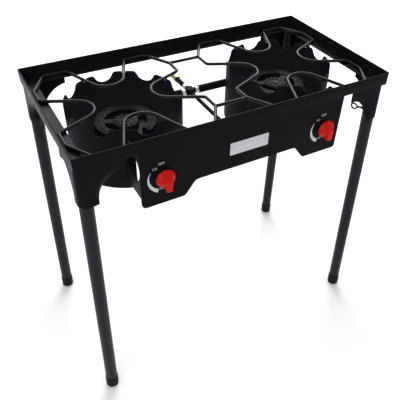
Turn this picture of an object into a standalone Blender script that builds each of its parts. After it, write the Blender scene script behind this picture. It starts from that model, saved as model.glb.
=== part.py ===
"""Two-burner propane stand.

An angle-steel frame stands on four tube legs that push into pressed corner brackets and
are locked by hairpin clips. Two bent-wire grates lie on the frame's lower flange, each
over a round wind guard with a scalloped top. A cast-iron burner sits in each guard. The
control panel hangs under the front rail, with a gas manifold, two valves and two knobs.
The gas comes in at the rear, through a cross fitting between the guards.

Metres. +X right, +Y back, +Z up. The origin is on the floor, under the frame's centre,
and the knobs face -Y.
"""
import math

import bmesh
import bpy
from mathutils import Matrix, Vector

# Frame of equal-leg angle
FRAME_LENGTH = 0.8128
FRAME_DEPTH = 0.418
RIM_Z = 0.789
ANGLE = 0.03175
ANGLE_WALL = 0.0032
GAP = 0.0003
HALF_X = FRAME_LENGTH / 2
HALF_Y = FRAME_DEPTH / 2
RAIL_BOTTOM = RIM_Z - ANGLE
SHELF_Z = RAIL_BOTTOM + ANGLE_WALL

# Corner brackets, pressed from sheet
SHEET_INSET = 0.0015
BRACKET_WALL = 0.0025
BRACKET_LENGTH = 0.106
BRACKET_BOTTOM = RIM_Z - 0.127
BRACKET_TOP = RAIL_BOTTOM - GAP
BEND_WIDTH, BEND_HEIGHT = 0.076, 0.086
LIP_WIDTH, LIP_HEIGHT = 0.065, 0.068
LIP_DEPTH = 0.0088
BEND_STEPS = 6

# Legs, feet and hairpin clips
LEG_RADIUS = 0.0159
LEG_BORE = 0.0143
LEG_TOP = RAIL_BOTTOM - 0.001
LEG_TOP_X, LEG_TOP_Y = 0.3858, 0.1870
LEG_FOOT_X, LEG_FOOT_Y = 0.4072, 0.2108
FOOT_RADIUS = 0.0174
FOOT_HEIGHT = 0.036
FOOT_FLOOR = 0.006
WRAP = LEG_RADIUS + GAP + BRACKET_WALL / 2
PIN_Z = RIM_Z - 0.119
PIN_RADIUS = 0.0023
PIN_HOLE = 0.0027
RING_WIDE, RING_TALL = 0.0095, 0.0065
RING_REACH, RING_DROP = 0.036, 0.006
CLIP_OFFSET = 0.0054

# Grates of round wire
WIRE = 0.004
WIRE_Z = SHELF_Z + WIRE + GAP
BURNER_X = 0.218
GRATE_X, GRATE_Y = 0.1755, 0.1920
GRATE_SHIFT = 0.002
SIDE_FINGER, END_FINGER = 0.074, 0.077
TIP = 0.073
CHAMFER_X, CHAMFER_Y = 0.135, 0.122
WIRE_BEND = 0.010
WIRE_BEND_STEPS = 3
FINGER_ROUND = 0.043

# Wind guards
GUARD_Y = 0.003
GUARD_RADIUS = 0.1368
GUARD_WALL = 0.0015
GUARD_TOP = RIM_Z - 0.0215
GUARD_BOTTOM = RIM_Z - 0.1795
NOTCHES = 8
NOTCH_DEPTH = 0.0225
NOTCH_HALF = 0.024
TAB_ROUND = 0.007
WINDOW_HALF = 0.031
WINDOW_TOP = RIM_Z - 0.076

# Control panel
PANEL_HALF = 0.2715
PANEL_Y = -HALF_Y + SHEET_INSET
PANEL_WALL = 0.002
PANEL_TOP = RAIL_BOTTOM - GAP
PANEL_LOW = RIM_Z - 0.1793
PANEL_MID = RIM_Z - 0.1425
PANEL_SIDE_LOW = RIM_Z - 0.1525
SIDE_END = -0.1238
SIDE_SLOPE_Y, SIDE_SLOPE_Z = -0.1500, RIM_Z - 0.065
SIDE_HOLE_Y, SIDE_HOLE_Z, SIDE_HOLE_R = -0.1720, RIM_Z - 0.083, 0.033
FLANGE_DEPTH = 0.022
PANEL_BEND = 0.004
PANEL_CORNER = 0.010
ARCH_OUT, ARCH_IN = 0.172, 0.130
ARCH_FOOT, ARCH_SHOULDER = 0.012, 0.016
PANEL_SCREW_X = 0.120

# Name plate and its rivets
PLATE_Z = RIM_Z - 0.0885
PLATE_HALF_X, PLATE_HALF_Z = 0.0520, 0.0165
PLATE_WALL = 0.0009
PLATE_CORNER = 0.003
RIVET_X = 0.0465
RIVET_RADIUS = 0.0015
RIVET_HOLE = 0.0018

# Knobs and their stems
KNOB_RADIUS = 0.0228
KNOB_BACK = PANEL_Y - 0.0022
KNOB_HUB = 0.0100
KNOB_DISC_BACK = 0.0075
KNOB_FACE = 0.0115
KNOB_FRONT = -0.2385
CONE_TOP, CONE_RADIUS = 0.0260, 0.0085
GRIP_REACH = 0.0235
GRIP_LOW, GRIP_HIGH = 0.0072, 0.0115
STEM_RADIUS = 0.0030

# Gas line
VALVE_Z = RIM_Z - 0.104
MANIFOLD_Y, MANIFOLD_Z = -0.186, RIM_Z - 0.0855
MANIFOLD_RADIUS = 0.0086
MANIFOLD_HALF = 0.256
TEE_HALF = 0.0095
CROSS_Y, CROSS_Z = 0.090, RIM_Z - 0.099
CROSS_HALF = 0.0145
ARM_RADIUS = 0.0105
FEED_RADIUS = 0.0050
PANEL_BACK = PANEL_Y + PANEL_WALL
VALVE_TAIL = -0.171

# Burners
BURNER_TOP = RIM_Z - 0.0815
RING_IN, RING_OUT = 0.051, 0.075
RING_HEIGHT = 0.020
BASE_OUT, BASE_HEIGHT = 0.082, 0.007
ARM_ANGLES = (24, 156)
RING_GAP = math.radians(27)
HUB_RADIUS = 0.032
HUB_BOTTOM = RIM_Z - 0.124
MIXER_RADIUS = 0.0165
MOUTH_Y = -0.158
MOUTH_RADIUS = 0.024
STRAP_Z = RIM_Z - 0.154

STEEL = ("powder_coat", (0.030, 0.031, 0.036), 0.0, 0.50)
WIRE_PAINT = ("wire_coat", (0.040, 0.041, 0.046), 0.0, 0.45)
IRON = ("cast_iron", (0.045, 0.044, 0.044), 0.3, 0.65)
ZINC = ("zinc_plate", (0.72, 0.73, 0.72), 1.0, 0.35)
BRASS = ("brass", (0.72, 0.53, 0.22), 1.0, 0.32)
KNOB_RED = ("knob_red", (0.62, 0.018, 0.012), 0.0, 0.22)
FOOT_RUBBER = ("foot_rubber", (0.018, 0.018, 0.020), 0.0, 0.75)
PLATE_METAL = ("plate_metal", (0.74, 0.75, 0.76), 1.0, 0.30)
WIRE_STEEL = ("clip_steel", (0.060, 0.060, 0.064), 0.6, 0.40)

CORNERS = {
    "front_left": (-1, -1),
    "front_right": (1, -1),
    "rear_left": (-1, 1),
    "rear_right": (1, 1),
}
SIDES = {"left": -1, "right": 1}


def clear_scene():
    for old in list(bpy.data.objects):
        bpy.data.objects.remove(old, do_unlink=True)


def material(finish):
    name, colour, metallic, roughness = finish
    found = bpy.data.materials.get(name)
    if found:
        return found
    made = bpy.data.materials.new(name)
    made.use_nodes = True
    shader = made.node_tree.nodes["Principled BSDF"]
    shader.inputs["Base Color"].default_value = (*colour, 1)
    shader.inputs["Metallic"].default_value = metallic
    shader.inputs["Roughness"].default_value = roughness
    return made


def add_object(name, bm, finish, origin=(0, 0, 0), sharp=35):
    """Turn a bmesh drawn in world positions into an object whose origin is at origin."""
    bmesh.ops.remove_doubles(bm, verts=bm.verts, dist=1e-6)
    bmesh.ops.recalc_face_normals(bm, faces=bm.faces)
    mesh = bpy.data.meshes.new(name)
    bm.to_mesh(mesh)
    bm.free()
    mesh.transform(Matrix.Translation(-Vector(origin)))
    mesh.shade_smooth()
    mesh.set_sharp_from_angle(angle=math.radians(sharp))
    made = bpy.data.objects.new(name, mesh)
    made.location = origin
    mesh.materials.append(material(finish))
    bpy.context.collection.objects.link(made)
    return made


def add_cutter(name, bm):
    bmesh.ops.recalc_face_normals(bm, faces=bm.faces)
    mesh = bpy.data.meshes.new(name)
    bm.to_mesh(mesh)
    bm.free()
    made = bpy.data.objects.new(name, mesh)
    made.hide_render = True
    made.display_type = "WIRE"
    bpy.context.collection.objects.link(made)
    return made


def combine(target, tool, operation):
    step = target.modifiers.new(tool.name, "BOOLEAN")
    step.operation = operation
    step.object = tool
    step.solver = "EXACT"


def soften(target, width, segments=1, angle=40):
    step = target.modifiers.new("edges", "BEVEL")
    step.width = width
    step.segments = segments
    step.limit_method = "ANGLE"
    step.angle_limit = math.radians(angle)


def prism(outline, low, high, axis):
    """Extrude a 2-D outline along an axis. The outline's two numbers are the other axes."""
    bm = bmesh.new()
    order = {"X": (2, 0, 1), "Y": (0, 2, 1), "Z": (0, 1, 2)}[axis]

    def place(point, level):
        source = (point[0], point[1], level)
        return tuple(source[index] for index in order)

    bottom = [bm.verts.new(place(point, low)) for point in outline]
    top = [bm.verts.new(place(point, high)) for point in outline]
    bm.faces.new(bottom)
    bm.faces.new(top)
    count = len(outline)
    for i in range(count):
        j = (i + 1) % count
        bm.faces.new((bottom[i], bottom[j], top[j], top[i]))
    return bm


def block(low, high):
    outline = [(low[0], low[1]), (high[0], low[1]), (high[0], high[1]), (low[0], high[1])]
    return prism(outline, low[2], high[2], "Z")


def turned(profile, centre, axis, segments=24, phase=0.0):
    """Turn a closed half-profile of (radius, height) points about an axis."""
    bm = bmesh.new()
    turn = {
        "Z": Matrix.Identity(3),
        "Y": Matrix(((1, 0, 0), (0, 0, -1), (0, 1, 0))),
        "X": Matrix(((0, 0, 1), (1, 0, 0), (0, 1, 0))),
    }[axis]
    rings = []
    for radius, height in profile:
        count = 1 if radius < 1e-7 else segments
        ring = []
        for i in range(count):
            angle = phase + 2 * math.pi * i / segments
            local = Vector((radius * math.cos(angle), radius * math.sin(angle), height))
            ring.append(bm.verts.new(turn @ local + Vector(centre)))
        rings.append(ring)
    pairs = list(zip(rings, rings[1:]))
    if len(rings[0]) > 1:
        pairs.append((rings[-1], rings[0]))
    for lower, upper in pairs:
        for i in range(segments):
            j = (i + 1) % segments
            face = [lower[i % len(lower)], lower[j % len(lower)],
                    upper[j % len(upper)], upper[i % len(upper)]]
            corners = list(dict.fromkeys(face))
            if len(corners) > 2:
                bm.faces.new(corners)
    return bm


def rod(start, end, centre, radius, axis, segments=24):
    return turned([(0, start), (radius, start), (radius, end), (0, end)],
                  centre, axis, segments)


def hexagon(start, end, centre, across, axis, chamfer=0.0008):
    """A hexagonal bar with broken corners at both ends, across flats."""
    corner = across / math.sqrt(3)
    inner = corner - chamfer
    return turned([(0, start), (inner, start), (corner, start + chamfer),
                   (corner, end - chamfer), (inner, end), (0, end)], centre, axis, 6)


def pipe(start, end, centre, outer, inner, axis, segments=24):
    return turned([(inner, start), (outer, start), (outer, end), (inner, end)],
                  centre, axis, segments)


def arc(centre, radius, start, end, steps):
    """Points on an arc, in degrees, both ends included."""
    points = []
    for i in range(steps + 1):
        angle = math.radians(start + (end - start) * i / steps)
        points.append((centre[0] + radius * math.cos(angle),
                       centre[1] + radius * math.sin(angle)))
    return points


def rounded_path(corners, radius, steps):
    """Bend an open 2-D path round each of its inner corners. Its two ends are left out."""
    points = []
    for before, corner, after in zip(corners, corners[1:], corners[2:]):
        here = Vector(corner)
        back = (Vector(before) - here).normalized()
        ahead = (Vector(after) - here).normalized()
        half = back.angle(ahead) / 2
        middle = here + (back + ahead).normalized() * (radius / math.sin(half))
        first = here + back * (radius / math.tan(half)) - middle
        last = here + ahead * (radius / math.tan(half)) - middle
        sweep = first.angle_signed(last)
        for k in range(steps + 1):
            turn = Matrix.Rotation(-sweep * k / steps, 2)
            points.append(tuple(middle + turn @ first))
    return points


def wire_object(name, points, radius, finish, closed, sides=2, origin=(0, 0, 0)):
    """A round wire along a path of 3-D points."""
    curve = bpy.data.curves.new(name, "CURVE")
    curve.dimensions = "3D"
    curve.bevel_depth = radius
    curve.bevel_resolution = sides
    curve.use_fill_caps = True
    curve.render_resolution_u = 0
    path = curve.splines.new("POLY")
    path.points.add(len(points) - 1)
    for spot, point in zip(path.points, points):
        spot.co = (*(Vector(point) - Vector(origin)), 1)
    path.use_cyclic_u = closed
    path.use_smooth = True
    made = bpy.data.objects.new(name, curve)
    made.location = origin
    curve.materials.append(material(finish))
    bpy.context.collection.objects.link(made)
    return made


# Frame ----------------------------------------------------------------------------------

def rail(name, half_length, outer, turn):
    """One mitred length of angle, its outer face at distance outer from the centre."""
    section = [(0, -ANGLE), (ANGLE, -ANGLE), (ANGLE, -ANGLE + ANGLE_WALL),
               (ANGLE_WALL, -ANGLE + ANGLE_WALL), (ANGLE_WALL, 0), (0, 0)]
    bm = bmesh.new()
    ends = []
    for side in (-1, 1):
        ring = []
        for inward, height in section:
            reach = side * (half_length - inward - GAP)
            ring.append(bm.verts.new((reach, inward - outer, RIM_Z + height)))
        bm.faces.new(ring)
        ends.append(ring)
    for i in range(len(section)):
        j = (i + 1) % len(section)
        bm.faces.new((ends[0][i], ends[0][j], ends[1][j], ends[1][i]))
    bmesh.ops.rotate(bm, verts=bm.verts, cent=(0, 0, 0),
                     matrix=Matrix.Rotation(math.radians(turn), 3, "Z"))
    made = add_object(name, bm, STEEL)
    soften(made, 0.0006)


def make_frame():
    rail("front_rail", HALF_X, HALF_Y, 0)
    rail("right_rail", HALF_Y, HALF_X, 90)
    rail("rear_rail", HALF_X, HALF_Y, 180)
    rail("left_rail", HALF_Y, HALF_X, 270)


def leg_centre(side_x, side_y, height):
    rise = height / LEG_TOP
    x = LEG_FOOT_X + (LEG_TOP_X - LEG_FOOT_X) * rise
    y = LEG_FOOT_Y + (LEG_TOP_Y - LEG_FOOT_Y) * rise
    return side_x * x, side_y * y


def bracket_outline():
    """Rows of (inner, bend, lip) points: distance from the corner, height and depth.

    The inner points lie where the plate leaves the bend round the leg, so only their share
    of the way along the top is given. The lip folds inward along the curved edge.
    """
    steps, rising = 10, 6
    rows = []
    for i in range(steps + 1):
        angle = math.radians(90 * i / steps)
        bend = (BRACKET_LENGTH - BEND_WIDTH * math.cos(angle),
                BRACKET_BOTTOM + BEND_HEIGHT * math.sin(angle))
        lip = (BRACKET_LENGTH - LIP_WIDTH * math.cos(angle),
               BRACKET_BOTTOM + LIP_HEIGHT * math.sin(angle),
               LIP_DEPTH * min(1, 1.6 * math.cos(angle), 0.2 + 2.2 * math.sin(angle)))
        up = min(i / rising, 1)
        along = max(i - rising, 0) / (steps - rising)
        rows.append(((along, BRACKET_BOTTOM + (BRACKET_TOP - BRACKET_BOTTOM) * up), bend, lip))
    return rows, rising


def corner_bracket(name, side_x, side_y):
    """A sheet wrapped round the leaning leg: two plates, their lips and the bend between."""
    rows, rising = bracket_outline()
    bm = bmesh.new()
    corner = {"front": HALF_X - SHEET_INSET, "side": HALF_Y - SHEET_INSET}

    def place(along, depth, height, plate):
        centre_x, centre_y = leg_centre(1, 1, height)
        if plate == "front":
            x, y = corner[plate] - along, centre_y + WRAP - depth
        else:
            x, y = centre_x + WRAP - depth, corner[plate] - along
        return (side_x * x, side_y * y, height)

    grid = {}
    for plate in ("front", "side"):
        for i, (inner, bend, lip) in enumerate(rows):
            tangent = corner[plate] - leg_centre(1, 1, inner[1])[plate == "side"]
            along = tangent + (BRACKET_LENGTH - tangent) * inner[0]
            grid[plate, i, 0] = bm.verts.new(place(along, 0, inner[1], plate))
            grid[plate, i, 1] = bm.verts.new(place(bend[0], 0, bend[1], plate))
            grid[plate, i, 2] = bm.verts.new(place(lip[0], lip[2], lip[1], plate))
        for i in range(len(rows) - 1):
            for j in range(2):
                bm.faces.new((grid[plate, i, j], grid[plate, i + 1, j],
                              grid[plate, i + 1, j + 1], grid[plate, i, j + 1]))
    levels = []
    for i in range(rising + 1):
        height = rows[i][0][1]
        centre_x, centre_y = leg_centre(1, 1, height)
        ring = [grid["front", i, 0]]
        for k in range(1, BEND_STEPS):
            angle = math.radians(90 * k / BEND_STEPS)
            x, y = centre_x + WRAP * math.sin(angle), centre_y + WRAP * math.cos(angle)
            ring.append(bm.verts.new((side_x * x, side_y * y, height)))
        ring.append(grid["side", i, 0])
        levels.append(ring)
    for lower, upper in zip(levels, levels[1:]):
        for k in range(BEND_STEPS):
            bm.faces.new((lower[k], lower[k + 1], upper[k + 1], upper[k]))
    made = add_object(name, bm, STEEL, sharp=50)
    thick = made.modifiers.new("sheet", "SOLIDIFY")
    thick.thickness = BRACKET_WALL
    thick.offset = 0
    thick.use_even_offset = True
    return made


def lean(bm, side_x, side_y):
    """Shift every level of an upright shape sideways onto the leg's leaning axis."""
    for vert in bm.verts:
        x, y = leg_centre(side_x, side_y, vert.co.z)
        vert.co.x += x
        vert.co.y += y
    return bm


def leg(name, side_x, side_y, hole):
    bm = lean(pipe(FOOT_FLOOR + GAP, LEG_TOP, (0, 0, 0), LEG_RADIUS, LEG_BORE, "Z"),
              side_x, side_y)
    made = add_object(name, bm, STEEL)
    combine(made, hole, "DIFFERENCE")


def foot(name, side_x, side_y):
    bore = LEG_RADIUS + GAP
    profile = [(0, 0), (0.0120, 0), (0.0155, 0.0014), (FOOT_RADIUS, 0.0050),
               (FOOT_RADIUS, FOOT_HEIGHT - 0.0006), (FOOT_RADIUS - 0.0006, FOOT_HEIGHT),
               (bore, FOOT_HEIGHT), (bore, FOOT_FLOOR), (0, FOOT_FLOOR)]
    bm = lean(turned(profile, (0, 0, 0), "Z"), side_x, side_y)
    add_object(name, bm, FOOT_RUBBER)


def hairpin(name, side_x, side_y):
    """Wire clip: a straight shank through bracket and leg, a ring, and a short free arm."""
    x, y = leg_centre(side_x, side_y, PIN_Z)
    tip = abs(y) + WRAP + BRACKET_WALL / 2
    inner_wall = abs(y) - LEG_RADIUS
    ring_y = inner_wall - RING_REACH
    points = [(x, side_y * tip, PIN_Z), (x, side_y * (inner_wall - 0.012), PIN_Z)]
    start, sweep, steps = 150, 300, 16
    for i in range(steps + 1):
        angle = math.radians(start - sweep * i / steps)
        shift = side_x * -CLIP_OFFSET * i / steps
        points.append((x + shift, side_y * (ring_y - RING_WIDE * math.cos(angle)),
                       PIN_Z - RING_DROP + RING_TALL * math.sin(angle)))
    aside = x - side_x * CLIP_OFFSET
    points.append((aside, side_y * (ring_y + 0.0160), PIN_Z - 0.001))
    points.append((aside, side_y * (inner_wall - 0.006), PIN_Z + 0.0065))
    points.append((aside, side_y * (inner_wall - 0.002), PIN_Z + 0.0068))
    wire_object(name, points, PIN_RADIUS, WIRE_STEEL, False, 1, (x, y, PIN_Z))


def make_corners():
    for place, (side_x, side_y) in CORNERS.items():
        x, y = leg_centre(side_x, side_y, PIN_Z)
        hole = add_cutter("pin_hole_" + place,
                          rod(-0.03, 0.03, (x, y, PIN_Z), PIN_HOLE, "Y", 12))
        made = corner_bracket("leg_bracket_" + place, side_x, side_y)
        combine(made, hole, "DIFFERENCE")
        leg("leg_" + place, side_x, side_y, hole)
        foot("foot_" + place, side_x, side_y)
        hairpin("leg_clip_" + place, side_x, side_y)


# Grates ---------------------------------------------------------------------------------

def finger(reach, half_width):
    """The round end of one finger that points at the burner's axis.

    Its straight legs start at (reach, +-half_width) and touch the end's arc, which comes
    within TIP of the axis. The legs' slope is found by bisection.
    """
    lowest, highest = 0.0, math.radians(60)
    for _ in range(40):
        slope = (lowest + highest) / 2
        spread = (reach - TIP - FINGER_ROUND) * math.tan(slope)
        if FINGER_ROUND / math.cos(slope) + spread < half_width:
            lowest = slope
        else:
            highest = slope
    turn = math.degrees(slope)
    return arc((TIP + FINGER_ROUND, 0), FINGER_ROUND, 90 + turn, 270 - turn, 8)


def grate_outline():
    """Local plan of one grate, as one closed loop round its burner, anticlockwise.

    The first quarter runs from the side finger's tip to the end finger's tip; the other
    three are its mirror images.
    """
    side = finger(GRATE_X, SIDE_FINGER)
    end = [(y, x) for x, y in finger(GRATE_Y, END_FINGER)]
    middle = len(side) // 2
    shoulder = rounded_path(
        [side[0], (GRATE_X, SIDE_FINGER), (GRATE_X, CHAMFER_Y), (CHAMFER_X, GRATE_Y),
         (END_FINGER, GRATE_Y), end[0]], WIRE_BEND, WIRE_BEND_STEPS)
    quarter = side[middle::-1] + shoulder + end[:middle + 1]
    loop = []
    for mirror_x, mirror_y in ((1, 1), (-1, 1), (-1, -1), (1, -1)):
        part = [(mirror_x * x, mirror_y * y) for x, y in quarter]
        if mirror_x * mirror_y < 0:
            part.reverse()
        loop += part[:-1]
    return loop


def make_grates():
    outline = grate_outline()
    for side, sign in SIDES.items():
        points = [(sign * BURNER_X + u, v + GRATE_SHIFT, WIRE_Z) for u, v in outline]
        wire_object(side + "_grate", points, WIRE, WIRE_PAINT, True)
    reach = BURNER_X - GRATE_X - WIRE - GAP
    for place, sign in {"front": -1, "rear": 1}.items():
        y = sign * CHAMFER_Y + GRATE_SHIFT
        bm = rod(-reach, reach, (0, y, WIRE_Z), WIRE, "X", 12)
        add_object(place + "_link_wire", bm, WIRE_PAINT)


# Wind guards ----------------------------------------------------------------------------

def wire_angles():
    """Where the eight finger legs cross the guard wall, in degrees from +X."""
    found = []
    wall = GUARD_RADIUS - GUARD_WALL / 2
    for swap, (reach, half_width) in enumerate(((GRATE_X, SIDE_FINGER),
                                                (GRATE_Y, END_FINGER))):
        touch = Vector(finger(reach, half_width)[0])
        run = Vector((reach, half_width)) - touch
        if swap:
            touch, run = touch.yx, run.yx
        for mirror_x, mirror_y in ((1, 1), (-1, 1), (-1, -1), (1, -1)):
            mirror = Vector((mirror_x, mirror_y))
            start, path = touch * mirror + Vector((0, GRATE_SHIFT - GUARD_Y)), run * mirror
            spots = [start + path * i / 2000 for i in range(2001)]
            spot = min(spots, key=lambda point: abs(point.length - wall))
            found.append(math.degrees(math.atan2(spot.y, spot.x)) % 360)
    return found


def guard_edges():
    """Columns of (angle from +X in degrees, top, bottom) right round the wall."""
    per_degree = math.pi * GUARD_RADIUS / 180
    pitch = 360 / NOTCHES
    radius = (NOTCH_HALF ** 2 + NOTCH_DEPTH ** 2) / (2 * NOTCH_DEPTH)
    slot_low = WIRE_Z - WIRE - GAP
    slot_half = (WIRE + 0.0007) / per_degree
    step = 0.02
    columns = []

    def top_at(distance):
        """Height of the scalloped edge at a distance from a notch's middle."""
        if distance < NOTCH_HALF:
            return GUARD_TOP - NOTCH_DEPTH + radius - math.sqrt(radius ** 2 - distance ** 2)
        past = min(distance - NOTCH_HALF, TAB_ROUND)
        drop = TAB_ROUND - math.sqrt(TAB_ROUND ** 2 - (TAB_ROUND - past) ** 2)
        return GUARD_TOP - drop

    for n in range(NOTCHES):
        middle = n * pitch
        for k in range(-5, 6):
            distance = NOTCH_HALF * 0.985 * math.sin(math.radians(18 * k))
            columns.append((middle + distance / per_degree, top_at(abs(distance))))
        for sign in (-1, 1):
            for share in (0.25, 1.0):
                distance = NOTCH_HALF + TAB_ROUND * share
                columns.append((middle + sign * distance / per_degree, top_at(distance)))
    for angle in wire_angles():
        columns.append((angle - slot_half - step, GUARD_TOP))
        columns.append((angle - slot_half, slot_low))
        columns.append((angle + slot_half, slot_low))
        columns.append((angle + slot_half + step, GUARD_TOP))
    columns = sorted((angle % 360, top) for angle, top in columns)
    window = math.degrees(math.asin(WINDOW_HALF / GUARD_RADIUS))
    edges = []
    for angle, top in columns:
        inside = abs(angle - 270) < window
        edges.append((angle, top, WINDOW_TOP if inside else GUARD_BOTTOM))
    tops = [top for _, top, _ in edges]
    for sign in (-1, 1):
        angle = 270 + sign * window
        index = min(range(len(edges)), key=lambda i: abs(edges[i][0] - angle))
        edges.append((angle - sign * step, tops[index], WINDOW_TOP))
        edges.append((angle + sign * step, tops[index], GUARD_BOTTOM))
    return sorted(edges)


def wind_guard(name, centre_x):
    bm = bmesh.new()
    rings = []
    for angle, top, bottom in guard_edges():
        direction = Vector((math.cos(math.radians(angle)), math.sin(math.radians(angle)), 0))
        ring = []
        for radius, height in ((GUARD_RADIUS, bottom), (GUARD_RADIUS, top),
                               (GUARD_RADIUS - GUARD_WALL, top),
                               (GUARD_RADIUS - GUARD_WALL, bottom)):
            spot = direction * radius + Vector((centre_x, GUARD_Y, height))
            ring.append(bm.verts.new(spot))
        rings.append(ring)
    for ring, after in zip(rings, rings[1:] + rings[:1]):
        for k in range(4):
            j = (k + 1) % 4
            bm.faces.new((ring[k], ring[j], after[j], after[k]))
    return add_object(name, bm, STEEL)


# Burners --------------------------------------------------------------------------------

def sector(inner, outer, low, high, start, end, centre, steps):
    """A flat ring segment between two angles, in degrees from +X."""
    rim = arc(centre, outer, start, end, steps)
    bore = arc(centre, inner, end, start, steps)
    return prism(rim + bore, low, high, "Z")


def burner(name, centre_x):
    """Hub, open ring, two arms and the mixing tube that leaves through the ring's gap."""
    centre = (centre_x, GUARD_Y)
    gap = math.degrees(RING_GAP)
    ring_low = BURNER_TOP - RING_HEIGHT
    hub = turned([(0, HUB_BOTTOM), (0.022, HUB_BOTTOM), (HUB_RADIUS, HUB_BOTTOM + 0.012),
                  (HUB_RADIUS, BURNER_TOP - 0.003), (HUB_RADIUS - 0.006, BURNER_TOP),
                  (0, BURNER_TOP)], (*centre, 0), "Z", 32)
    made = add_object(name, hub, IRON)
    ring = add_cutter(name + "_ring", sector(RING_IN, RING_OUT, ring_low, BURNER_TOP,
                                             gap - 90, 270 - gap, centre, 36))
    combine(made, ring, "UNION")
    base = add_cutter(name + "_base", sector(HUB_RADIUS - 0.004, BASE_OUT, ring_low,
                                             ring_low + BASE_HEIGHT, gap - 88, 268 - gap,
                                             centre, 36))
    combine(made, base, "UNION")
    for n, angle in enumerate(ARM_ANGLES):
        arm = block((HUB_RADIUS - 0.012, -0.011, ring_low + 0.001),
                    (RING_IN + 0.006, 0.011, BURNER_TOP - 0.0025))
        bmesh.ops.rotate(arm, verts=arm.verts, cent=(0, 0, 0),
                         matrix=Matrix.Rotation(math.radians(angle), 3, "Z"))
        bmesh.ops.translate(arm, verts=arm.verts, vec=(*centre, 0))
        combine(made, add_cutter("%s_arm_%d" % (name, n), arm), "UNION")
    mixer = turned([(0, 0.02), (MIXER_RADIUS, 0.02), (MIXER_RADIUS, 0.128),
                    (MOUTH_RADIUS, 0.150), (MOUTH_RADIUS, GUARD_Y - MOUTH_Y),
                    (0, GUARD_Y - MOUTH_Y)],
                   (centre_x, GUARD_Y, VALVE_Z), "Y")
    combine(made, add_cutter(name + "_mixer", mixer), "UNION")
    throat = turned([(0, 0.0), (0.012, 0.0), (0.012, 0.128), (MOUTH_RADIUS - 0.003, 0.150),
                     (MOUTH_RADIUS - 0.003, 0.170), (0, 0.170)],
                    (centre_x, GUARD_Y, VALVE_Z), "Y")
    combine(made, add_cutter(name + "_throat", throat), "DIFFERENCE")
    return made


def burner_supports(side, centre_x):
    """The strap across the guard, the stud down to it and the nut under it."""
    reach = math.sqrt((GUARD_RADIUS - GUARD_WALL) ** 2 - 0.013 ** 2) - 0.0006
    thick = 0.003
    half = 0.0125
    outline = [(-reach, STRAP_Z - 0.018), (-reach + thick, STRAP_Z - 0.018),
               (-reach + thick, STRAP_Z), (reach - thick, STRAP_Z),
               (reach - thick, STRAP_Z - 0.018), (reach, STRAP_Z - 0.018),
               (reach, STRAP_Z + thick), (-reach, STRAP_Z + thick)]
    moved = [(centre_x + x, z) for x, z in outline]
    strap = add_object(side + "_burner_strap",
                       prism(moved, GUARD_Y - half, GUARD_Y + half, "Y"), STEEL)
    hole = rod(STRAP_Z - 0.01, STRAP_Z + 0.01, (centre_x, GUARD_Y, 0), 0.0044, "Z", 16)
    combine(strap, add_cutter(side + "_stud_hole", hole), "DIFFERENCE")
    stud = turned([(0, STRAP_Z - 0.016), (0.004, STRAP_Z - 0.016),
                   (0.004, STRAP_Z + thick + GAP), (0.0085, STRAP_Z + thick + GAP),
                   (0.0085, HUB_BOTTOM - GAP), (0, HUB_BOTTOM - GAP)],
                  (centre_x, GUARD_Y, 0), "Z", 16)
    add_object(side + "_burner_stud", stud, ZINC)
    nut = hexagon(STRAP_Z - 0.0075, STRAP_Z - GAP, (centre_x, GUARD_Y, 0), 0.013, "Z")
    made = add_object(side + "_stud_nut", nut, ZINC, sharp=20)
    thread = rod(STRAP_Z - 0.02, STRAP_Z + 0.01, (centre_x, GUARD_Y, 0), 0.0043, "Z", 16)
    combine(made, add_cutter(side + "_nut_hole", thread), "DIFFERENCE")


def air_shutter(side, centre_x):
    """A disc over the mixing tube's mouth, with three windows, that turns on its axis."""
    axis = (centre_x, MOUTH_Y - 0.002, VALVE_Z)
    disc = turned([(0.0048, 0), (MOUTH_RADIUS + 0.002, 0), (MOUTH_RADIUS + 0.002, 0.0015),
                   (0.0048, 0.0015)], axis, "Y")
    made = add_object(side + "_air_shutter", disc, STEEL, axis)
    for n in range(3):
        middle = 90 + 120 * n
        window = prism(arc((axis[0], axis[2]), 0.0200, middle - 30, middle + 30, 5)
                       + arc((axis[0], axis[2]), 0.0095, middle + 30, middle - 30, 3),
                       MOUTH_Y - 0.01, MOUTH_Y + 0.01, "Y")
        combine(made, add_cutter("%s_window_%d" % (side, n), window), "DIFFERENCE")


def make_burners():
    for side, sign in SIDES.items():
        centre_x = sign * BURNER_X
        wind_guard(side + "_wind_guard", centre_x)
        burner(side + "_burner", centre_x)
        burner_supports(side, centre_x)
        air_shutter(side, centre_x)


# Control panel --------------------------------------------------------------------------

def panel_section():
    """Plan of the folded sheet: side, bend, front, bend, side."""
    centre_x, centre_y = PANEL_HALF - PANEL_BEND, PANEL_Y + PANEL_BEND
    outer = [(-PANEL_HALF, SIDE_END)]
    outer += arc((-centre_x, centre_y), PANEL_BEND, 180, 270, 4)
    outer += arc((centre_x, centre_y), PANEL_BEND, 270, 360, 4)
    outer.append((PANEL_HALF, SIDE_END))
    inside = PANEL_BEND - PANEL_WALL
    inner = [(PANEL_HALF - PANEL_WALL, SIDE_END)]
    inner += arc((centre_x, centre_y), inside, 360, 270, 3)
    inner += arc((-centre_x, centre_y), inside, 270, 180, 3)
    inner.append((-PANEL_HALF + PANEL_WALL, SIDE_END))
    return outer + inner


def panel_arch():
    """The cut under the panel's middle, with an S-curve at each end."""
    left = [(-ARCH_OUT, PANEL_LOW - 0.01), (-ARCH_OUT, PANEL_LOW)]
    left += arc((-ARCH_OUT, PANEL_LOW + ARCH_FOOT), ARCH_FOOT, 270, 320, 4)
    left += arc((-ARCH_IN, PANEL_MID - ARCH_SHOULDER), ARCH_SHOULDER, 150, 90, 5)
    right = [(-x, z) for x, z in reversed(left)]
    return left + right


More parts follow.
